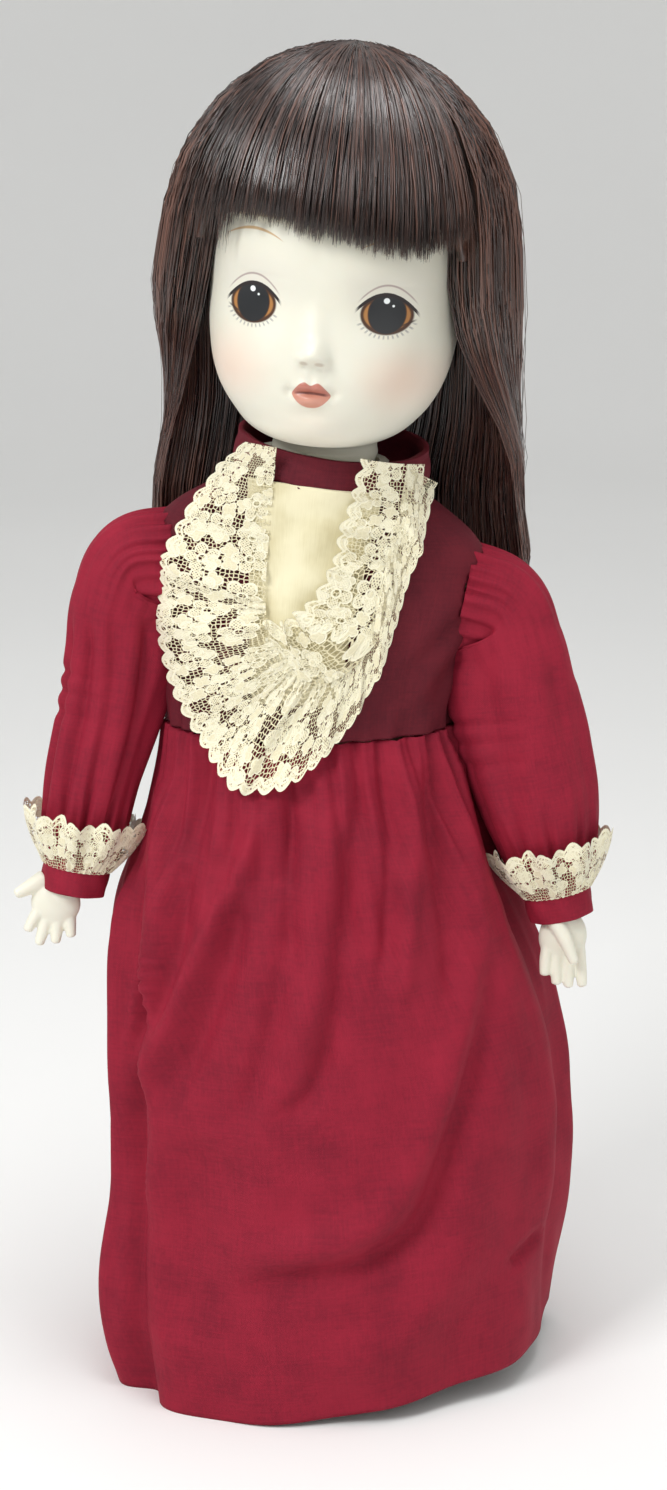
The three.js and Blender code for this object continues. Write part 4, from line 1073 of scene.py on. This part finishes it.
# Satin of the insert: long fine warp, soft mottling, a low sheen.
def wornSatin(name, lit, deep):
    finish = Finish(name)
    u, v, _ = finish.split(finish.coordinates("UV"))
    where = finish.coordinates("Object")
    grain = finish.noise(finish.joined(u * 3000.0, v * 160.0), 1.0, 2.0)
    clouds = finish.noise(where, 70.0, 3.0)
    finish.set(colour=finish.mixed(finish.within(clouds + grain * 0.2, 0.35, 0.8), deep, lit), specular=0.5)
    finish.set(roughness=0.38 + 0.14 * grain, sheen=0.15, anisotropic=0.4)
    finish.bumped(grain, 0.12, 0.0002)
    return finish.material


chest = {
    "z": [178, 190, 205, 220, 236, 250, 260, 266, 272, 277.6, 284, 290],
    "wide": [48, 45.6, 43.4, 43.6, 46, 48.4, 48.4, 46, 40, 33.5, 31.5, 31],
    "front": [36.5, 33.5, 28.4, 28, 27, 23.7, 22, 22, 22.6, 24, 26.2, 26.8],
}


# The dress's front surface, as depth at each side distance and height, pushed out by a clearance.
def onChest(x, z, away):
    wide, front = through(chest["z"], chest["wide"], z) + 2, through(chest["z"], chest["front"], z)
    bulge = np.sqrt(np.clip(1 - (x / wide) ** 2, 0.03, 1))
    return place(x, -(front + away) * bulge, z)


# A ruffle between its stitched line and its free edge, both smooth curves through points: it lifts and
# rolls in waves that grow from the stitching, and its stitched side is drawn up into fine gathers.
def ruffleGrid(stitched, free, waves, lift, seed, rows=48, columns=560):
    wild = np.random.default_rng(seed)
    u, v = np.linspace(0, 1, columns)[None], np.linspace(0, 1, rows)[:, None]
    line = lambda points: through(np.linspace(0, 1, len(points)), np.array(points, float), u[0])
    inner, outer = line(stitched)[None], line(free)[None]
    flat = inner * (1 - v[..., None]) + outer * v[..., None]
    along = np.gradient(outer[0], axis=0)
    along = (along / np.linalg.norm(along, axis=1, keepdims=True))[None]
    out = outer - inner
    out = out / (np.linalg.norm(out, axis=2, keepdims=True) + 1e-6)
    bend = wild.uniform(0, 6.28, 6)
    uneven = 0.035 * np.sin(6.28 * 2 * u + bend[0]) + 0.02 * np.sin(6.28 * 5 * u + bend[1])
    turns = waves * (u + uneven) * 2 * math.pi
    size = 0.75 + 0.35 * np.sin(6.28 * 1.7 * u + bend[2]) + 0.2 * np.sin(6.28 * 4.3 * u + bend[3])
    roll = np.sin(turns + 1.2 * v) * size
    sway = np.cos(turns + 0.6 * v) * size
    fine = np.sin(turns * 4.3 + bend[4]) * np.exp(-v * 5) * 0.4
    fine = fine + 0.35 * np.sin(turns * 2.1 + bend[5] + 2 * v) * v
    x = flat[..., 0] + (along[..., 0] * sway * 1.5 + out[..., 0] * roll * 0.7) * v
    z = flat[..., 1] + (along[..., 1] * sway * 1.5 + out[..., 1] * roll * 0.7) * v
    away = 1.4 + lift * v ** 0.9 + (1.9 * roll * v ** 0.8 + fine) + 1.6 * np.abs(size)
    return onChest(x, z, np.maximum(away, 0.7))


# Pattern place on a ruffle: along its free edge, and in from that edge.
def ruffleUv(grid, fullness=1.0, shift=0.0):
    uv = measuredUv(grid[::-1])
    length = np.linalg.norm(np.diff(grid[-1], axis=0), axis=1)
    uv[..., 0] = np.concatenate([[0], np.cumsum(length)])[None] * fullness + shift
    return uv[::-1]


# One ruffle as a piece: its pattern runs along its free edge, shifted so that two ruffles differ.
def ruffle(name, stitched, free, waves, lift, seed, material, shift):
    points = spinePlace(ruffleGrid(stitched, free, waves, lift, seed))
    piece = gridPiece(name, points, material, uv=ruffleUv(points, 1.0, shift))
    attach(piece, "torso")
    declareCloth(piece, points, False)
    return piece


print("making the lace")
lace = flowerLace("creamLace", colour(246, 240, 212), colour(214, 202, 160))
satin = wornSatin("ivorySatin", colour(240, 232, 196), colour(212, 200, 154))

across, down = np.linspace(-1, 1, 90)[None], np.linspace(0, 1, 120)[:, None]
insertZ = 278 - 62 * down + 0 * across
insertFold = 0.45 * np.sin(across * 7 + down * 5) + 0.35 * np.sin(across * 3 - down * 14)
insertFold = insertFold + 0.2 * np.sin(down * 31 + across * 5)
insertPoints = spinePlace(onChest(-4 + across * (19 - 7 * down), insertZ, 0.9 + insertFold * 0.7))
insert = thicken(gridPiece("satinInsert", insertPoints, satin, uv=measuredUv(insertPoints)), 0.7)
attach(insert, "torso")
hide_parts("ivory_insert")
declareCloth(insert, insertPoints, False)

# Lines of the two ruffles: side distance and height of the stitching and of the free edge.
outerStitch = [
    (-16, 288), (-15.5, 270), (-15, 252), (-13.5, 240), (-9, 231), (0, 226),
    (10, 229), (15.5, 240), (18, 256), (20, 272), (21, 287),
]
outerFree = [
    (-26, 287.5), (-38, 270), (-45, 253), (-46, 234), (-39, 214), (-19, 191),
    (5, 202), (17.5, 221), (23, 240), (27.5, 262), (31.5, 281.5),
]
innerStitch = [(26, 287), (26.5, 272), (25, 258), (21, 243), (13, 229), (0, 222), (-13, 228)]
innerFree = [(7.5, 288), (4.5, 272), (3, 259), (-1, 249), (-6, 243), (-10, 240), (-14, 240)]
jabotOuter = ruffle("jabotOuter", outerStitch, outerFree, 9, 2.4, 21, lace, 0.0)
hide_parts("jabot_lace")
ruffle("jabotInner", innerStitch, innerFree, 5, 1.8, 22, lace, 0.07)


# Cuff frill: stitched round the cuff and flared up the sleeve in waves, its free edge scalloped.
def frillGrid(arm, waves, rows=34, columns=360):
    along = armLine(arm, 1) - armLine(arm, 0)
    v = np.linspace(0, 1, rows)
    centres = armLine(arm, 0.955) - (v * 16.5)[:, None] * along / np.linalg.norm(along)
    way = np.repeat((along / np.linalg.norm(along))[None], rows, 0)
    turn = np.linspace(0, 2 * math.pi, columns, endpoint=False)[None]
    v = v[:, None]
    wave = np.sin(waves * turn + 1.3 * np.sin(2 * turn) + 0.7 * v)
    radius = through([0, 0.35, 0.7, 1], arm["frill"], v + 0 * turn) + 1.7 * wave * v**0.8
    radius = radius + 0.35 * np.sin(5 * waves * turn) * np.exp(-v * 4)
    grid = limbRings(centres, way, radius, radius, columns)
    return grid + (0.9 * np.cos(waves * turn) * v)[..., None] * way[:1, None]


for name, arm in arms.items():
    points = upperPlace(frillGrid(arm, 8))
    ring = measuredUv(points[::-1], True)[::-1]
    edge = np.linalg.norm(np.diff(np.concatenate([points[-1], points[-1, :1]]), axis=0), axis=1)
    scallops = round(edge.sum() / 0.0056)
    ring[..., 0] = (np.concatenate([[0], np.cumsum(edge)]) / edge.sum() * scallops * 0.0056)[None]
    frill = gridPiece(name + "CuffLace", points, lace, True, ring)
    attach(frill, name + "_forearm")
    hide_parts(name + "_cuff_lace")
    declareCloth(frill, points, True)


# Hands: each finger is a tube through points from the palm, in the arm's own millimetres; tubes and palm
# are melted into one skin by voxels 0.44 mm wide and then smoothed.
hands = {
    "right": {"wrist": (61.7, -9, 154), "palm": (66.6, -12, 143.2),
              "palmReach": (7.4, 4.0, 7.2), "fingers": [
                  [(70.5, -11, 150), (74.6, -13, 147.5), (77.4, -14.5, 146.0), (78.6, -15, 145.2)],
                  [(70.6, -12.5, 142), (72.6, -13.8, 138), (73.7, -14.6, 135.4), (74.0, -14.8, 134.2)],
                  [(68.4, -12.5, 140), (69.4, -13.8, 135), (70.0, -14.8, 131.9), (70.2, -15.0, 130.4)],
                  [(65.4, -12.5, 140), (65.4, -13.8, 135.4), (65.4, -14.8, 132.9), (65.4, -15.0, 131.5)],
                  [(62.6, -12, 141.5), (61.7, -13.2, 137.4), (61.2, -14.2, 135), (60.9, -14.5, 133.7)]]},
    "left": {"wrist": (82, -8, 162), "palm": (84.6, -11.4, 149.6),
             "palmReach": (7.2, 4.0, 8.4), "fingers": [
                 [(80.5, -14, 156.5), (84.4, -16.8, 151), (87.2, -17.6, 146), (88.6, -17.8, 143.4)],
                 [(80.6, -12, 147), (80.2, -13.6, 142.6), (80.3, -14.6, 139.4), (80.4, -15, 137.8)],
                 [(83.4, -12.2, 146), (83.7, -13.8, 140.6), (84.1, -14.8, 137), (84.2, -15, 135.4)],
                 [(86.6, -12.2, 146), (87.3, -13.8, 140.4), (87.8, -14.8, 136.4), (87.9, -15, 134.9)],
                 [(89.6, -12, 147), (90.9, -13.4, 141.6), (91.8, -14.2, 137.2), (92.2, -14.5, 135.4)]]},
}


# One closed tube along smooth stations, with a rounded tip.
def fingerTube(points, radii, columns=18, rows=22):
    t = np.linspace(0, 1, rows)
    knots = np.linspace(0, 1, len(points))
    centres, radius = through(knots, np.array(points, float), t), through(knots, np.array(radii, float), t)
    radius = radius * np.sqrt(np.clip(1 - np.clip((t - 0.86) / 0.15, 0, 1) ** 2, 0.02, 1))
    ways = np.gradient(centres, axis=0)
    ways = ways / np.linalg.norm(ways, axis=1, keepdims=True)
    reach = np.repeat(radius[:, None], columns, 1)
    return limbRings(centres, ways, reach, reach, columns)


# Palm: an oval ball; wrist and forearm: a tube from under the sleeve to the palm.
def handPiece(name, hand, arm, material):
    side = arm["side"]
    mirror = np.array([side, 1.0, 1.0])
    thumb, finger = [2.9, 2.3, 1.75, 1.5], [2.1, 1.85, 1.6, 1.45]
    parts = []
    for n, line in enumerate(hand["fingers"]):
        parts.append(fingerTube(np.array(line) * mirror, finger if n else thumb))
    elbow, wrist = armLine(arm, 0.22), np.array(hand["wrist"]) * mirror
    palm = np.array(hand["palm"]) * mirror
    line = [elbow, elbow * 0.5 + wrist * 0.5, wrist, wrist * 0.45 + palm * 0.55, palm]
    parts.append(fingerTube(line, [7.0, 6.2, 5.0, 5.2, 5.4], 30, 40))
    turn = np.linspace(0, 2 * math.pi, 40, endpoint=False)[None]
    polar = np.linspace(0.04, math.pi - 0.04, 24)[:, None]
    reach = hand["palmReach"]
    ball = place(np.sin(polar) * np.cos(turn), np.sin(polar) * np.sin(turn), np.cos(polar))
    parts.append(palm + np.array(reach) * ball)
    points, faces, caps, first = [], [], [], 0
    for part in parts:
        rows, columns = part.shape[:2]
        made, _ = gridFaces(rows, columns, True)
        faces.append(made + first)
        caps += [first + np.arange(columns)[::-1], first + (rows - 1) * columns + np.arange(columns)]
        points.append(part.reshape(-1, 3))
        first += rows * columns
    piece = newPiece(name, upperPlace(np.concatenate(points)), np.concatenate(faces), material, None, caps)
    melt = piece.modifiers.new("melt", "REMESH")
    melt.mode, melt.voxel_size, melt.use_smooth_shade = "VOXEL", 0.00044, True
    relax = piece.modifiers.new("relax", "SMOOTH")
    relax.factor, relax.iterations = 0.5, 5
    return piece


print("modelling the hands")
handClay = bisqueClay("handBisque")
for name, arm in arms.items():
    hand = handPiece(name + "Hand", hands[name], arm, handClay)
    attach(hand, name + "_forearm")
    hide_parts(name + "_bisque_forearm")


# Underclothes and feet: heights and half-sizes per piece, in millimetres.
petticoat = {
    "z": [14, 100, 140, 170, 196],
    "x": [0, 0, -4, -3, 0],
    "wide": [58.5, 56, 50.5, 43, 35.4],
    "front": [43, 40, 36, 30.5, 24.6],
    "back": [41, 38, 33, 28.5, 23.6],
    "yaw": 12.0,
    "rise": 0.0,
    "waistFolds": 30,
}
petticoatFolds = [
    (n * 15 - 172, n * 15 - 172 + 4 * math.sin(n), 188, 14, 5.0, 1.9 * (-1) ** n) for n in range(24)
]
legShapes = {
    "bloomer": {
        "z": [70, 76, 80, 90, 105, 130, 144], "wide": [13.4, 12.4, 10.4, 13, 13.4, 13.6, 13.2],
        "front": [14.6, 13.4, 11.2, 14.6, 16, 17, 17.4], "back": [14.6, 13.4, 11.2, 14.6, 16, 17, 17.4]},
    "shin": {
        "z": [3.6, 8, 14, 20, 28, 44, 60, 74, 86], "wide": [6.4, 7.4, 6.9, 5.9, 5.7, 7.3, 8.9, 9.1, 8.3],
        "front": [22.5, 24, 17.6, 8.8, 5.7, 7.3, 8.9, 9.1, 8.3],
        "back": [7.4, 8.4, 7.8, 6.9, 5.7, 7.9, 10.1, 9.7, 8.3]},
    "sock": {"z": [22, 28, 40, 47, 50], "wide": [7.4, 7.4, 8.4, 9.6, 9.7],
             "front": [9.4, 7.4, 8.4, 9.6, 9.7], "back": [8.2, 7.4, 9.2, 10.2, 10.3]},
    "shoe": {"z": [2.7, 5, 9, 13, 16, 17], "wide": [9.7, 10.2, 10.3, 9.9, 9.3, 9.0],
             "front": [27.8, 28.5, 28.3, 25.4, 19, 17.8], "back": [10.7, 11.3, 11.3, 11, 10.4, 10.1]},
    "sole": {"z": [0.2, 0.8, 2.2, 2.6], "wide": [9.5, 9.9, 9.9, 9.6],
             "front": [28, 28.4, 28.4, 28.1], "back": [10.6, 11, 11, 10.7]},
}
hipOut = 14.5  # how far each leg stands off the middle


# A loft up a leg: squared ovals, moved out to the hip, with a ripple of its own.
def legGrid(shape, side, rows, columns, power=2.0, ripple=None):
    z = np.linspace(shape["z"][0], shape["z"][-1], rows)[:, None]
    angle = np.linspace(0, 2 * math.pi, columns, endpoint=False)[None]
    bend = lambda value: np.sign(value) * np.abs(value) ** (2 / power)
    grow = ripple(z, angle) if ripple else 0.0
    wide, front, back = (through(shape["z"], shape[key], z) + grow for key in ("wide", "front", "back"))
    x = wide * bend(np.cos(angle))
    y = np.where(np.sin(angle) < 0, front, back) * bend(np.sin(angle))
    return spinePlace(place(x + hipOut * side, y + 2, z + 0 * x))


# A glossy moulded finish: grain in its tone and roughness, a faint fine bump, and a clear coat on top.
def gloss(name, dark, light):
    finish = Finish(name)
    where = finish.coordinates("Object")
    grain = finish.noise(where, 420.0, 3.0)
    finish.set(colour=finish.mixed(grain, dark, light), roughness=0.24 + 0.14 * grain)
    finish.set(coat=0.3, coatRoughness=0.15)
    finish.bumped(finish.noise(where, 1500.0, 2.0), 0.12, 0.0002)
    return finish.material


print("dressing the legs")
whiteCotton = wovenCotton("whiteCotton", colour(242, 240, 234), colour(214, 210, 202), 0.0007, 0.15)
shoeVinyl = gloss("shoeVinyl", colour(22, 20, 21), colour(44, 40, 42))
soleVinyl = gloss("soleVinyl", colour(70, 62, 54), colour(92, 82, 72))
gathered = lambda z, angle: 0.5 * np.sin(24 * angle) * bell((z - 80) / 7) + 0.5 * np.sin(9 * angle + z / 9)
ribbed = lambda z, angle: 0.16 * np.sin(44 * angle) + 0.6 * smooth((z - 45.5) / 1.2)

petticoatGrid = skirtGrid(petticoat, petticoatFolds, 90, 240, 0.35)
petticoatPoints = spinePlace(petticoatGrid[:-8])
petticoatPiece = clothTube("petticoatCloth", petticoatPoints, whiteCotton, 0.6, True)
blendHips(petticoatPiece)
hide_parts("petticoat")
declareCloth(petticoatPiece, petticoatPoints, True)

seatReach = [23, 24.2, 23.4, 21.4]
seat = {"z": [155, 168, 184, 194], "wide": [34, 35.8, 35, 33.2], "front": seatReach, "back": seatReach}
around, up = np.linspace(0, 2 * math.pi, 120, endpoint=False)[None], np.linspace(155, 194, 40)[:, None]
puff = 0.6 * np.sin(26 * around) * smooth((up - 184) / 10) + 0.4 * np.sin(8 * around + up / 8)
seatX, seatY = sectionPoint(seat, up, around, puff)
seatPoints = spinePlace(place(seatX, seatY, up + 0 * seatX))
bloomerSeat = clothTube("bloomerSeat", seatPoints, whiteCotton, 0.6)
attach(bloomerSeat, "torso")
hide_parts("bloomer_seat")
declareCloth(bloomerSeat, seatPoints, True)

for side, name in ((1, "left"), (-1, "right")):
    bloomer = legGrid(legShapes["bloomer"], side, 60, 120, ripple=gathered)
    sock = legGrid(legShapes["sock"], side, 24, 176, ripple=ribbed)
    legPieces = (
        ("BloomerLeg", "bloomer_leg", bloomer, whiteCotton, "white_cotton", 0.6),
        ("Shin", "bisque_shin", legGrid(legShapes["shin"], side, 120, 72, 2.2), handClay, "bisque", 0),
        ("Sock", "sock", sock, whiteCotton, "white_cotton", 0.6),
        ("Shoe", "shoe", legGrid(legShapes["shoe"], side, 40, 110, 2.45), shoeVinyl, "shoe_vinyl", 1.1),
        ("Sole", "shoe_sole", legGrid(legShapes["sole"], side, 10, 110, 2.45), soleVinyl, "sole_vinyl", 0),
    )
    for title, node, points, material, slot, wall in legPieces:
        piece = gridPiece(name + title, points, material, True, measuredUv(points, True), capped=not wall)
        if wall:
            thicken(piece, wall)
        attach(piece, name + "_leg")
        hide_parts(name + "_" + node)
        if slot == "white_cotton":
            declareCloth(piece, points, True)


# Every CAD node still shown keeps its shape and takes a finish of its own.
def woodGrain(name):
    finish = Finish(name)
    where = finish.coordinates("Object")
    inputs = {"Vector": where, "Scale": 180.0, "Distortion": 6.0}
    rings = finish.node("ShaderNodeTexWave", {"wave_type": "RINGS"}, inputs)[1]
    tones = finish.mixed(rings, colour(150, 104, 58), colour(206, 166, 112))
    finish.set(colour=tones, roughness=0.5 + 0.2 * rings)
    finish.bumped(rings, 0.1, 0.0002)
    return finish.material


print("finishing the hidden pieces")
plainMuslin = wovenCotton("plainMuslin", colour(236, 222, 196), colour(208, 190, 160), 0.0009, 0.1)
beech = woodGrain("turnedBeech")
elasticCotton = wovenCotton("coveredElastic", colour(226, 222, 210), colour(186, 180, 168), 0.0006, 0.1)
leftOver = {
    "muslin": plainMuslin,
    "turned_wood": beech,
    "rubber_elastic": elasticCotton,
    "bisque": bisqueClay("plainBisque"),
    "pearl_button": gloss("pearlButton", colour(226, 220, 206), colour(246, 242, 232)),
    "shoe_vinyl": shoeVinyl,
}
slotOf = {part["node"]: part["material_slot"] for part in frame["record"]["subparts"]}
for nodeName, node in frame["nodes"].items():
    if not node.hide_render:
        node.data.materials.clear()
        node.data.materials.append(leftOver.get(slotOf[nodeName], plainMuslin))


# Stage: a broad pale floor that sweeps up all round, a bright sky for fill, a large soft key from above
# left and a weaker light opposite. Camera and floor are in metres.
stage = {
    "cameraBack": 0.773,
    "cameraHeight": 0.407,
    "aimHeight": 0.1967,
    "lens": 65.14,
    "flat": 1.7,
    "sweep": 1.0,
}


# A square lamp that faces its aim.
def areaLight(name, where, aim, power, size):
    lamp = bpy.data.lights.new(name, "AREA")
    lamp.energy, lamp.size = power, size
    lightObject = bpy.data.objects.new(name, lamp)
    lightObject.location = where
    direction = np.array(aim) - np.array(where)
    lightObject.rotation_mode = "QUATERNION"
    lightObject.rotation_quaternion = Vector(direction).to_track_quat("-Z", "Y")
    bpy.context.scene.collection.objects.link(lightObject)


# The floor: a disc whose edge turns up along a quarter circle into a wall.
def paleFloor():
    finish = Finish("paleFloor")
    soft = finish.noise(finish.coordinates("Object"), 3.0, 2.0)
    finish.set(colour=finish.mixed(soft, (0.86, 0.86, 0.85), (0.9, 0.9, 0.89)), roughness=0.9 + 0.02 * soft)
    run = np.linspace(0.0005, 4.4, 90)[:, None]
    turn = np.clip((run - stage["flat"]) / stage["sweep"], 0, math.pi / 2)
    angle = np.linspace(0, 2 * math.pi, 96, endpoint=False)[None]
    away = np.minimum(run, stage["flat"]) + stage["sweep"] * np.sin(turn)
    beyond = np.clip(run - stage["flat"] - stage["sweep"] * math.pi / 2, 0, None)
    height = stage["sweep"] * (1 - np.cos(turn)) + beyond + 0 * angle
    bowl = place(away * np.cos(angle), away * np.sin(angle), height)
    floor = gridPiece("floor", bowl, finish.material, True, flip=True)


print("setting the stage")
paleFloor()
midX, midY = hipPlace[0], hipPlace[1] - figure["hipBack"] / 1000
world = bpy.data.worlds.new("softRoom")
bpy.context.scene.world = world
world.use_nodes = True
world.node_tree.nodes["Background"].inputs["Color"].default_value = (1.0, 1.0, 1.0, 1)
world.node_tree.nodes["Background"].inputs["Strength"].default_value = 0.62
areaLight("keyLight", (midX - 0.7, -0.75, 1.05), (midX, 0, 0.2), 9.5, 0.45)
areaLight("fillLight", (midX + 0.9, -0.8, 0.6), (midX, 0, 0.2), 1.4, 0.8)
areaLight("topLight", (midX + 0.1, -0.12, 1.2), (midX, 0, 0.3), 4.5, 0.45)
bpy.context.scene.view_settings.view_transform = "Standard"

lens = bpy.data.cameras.new("camera")
lens.lens, lens.sensor_width, lens.sensor_fit = stage["lens"], 36.0, "AUTO"
camera = bpy.data.objects.new("camera", lens)
camera.location = (midX, midY - stage["cameraBack"], stage["cameraHeight"])
aim = Vector((midX, midY, stage["aimHeight"])) - camera.location
camera.rotation_mode = "QUATERNION"
camera.rotation_quaternion = aim.to_track_quat("-Z", "Y")
bpy.context.scene.collection.objects.link(camera)
bpy.context.scene.camera = camera
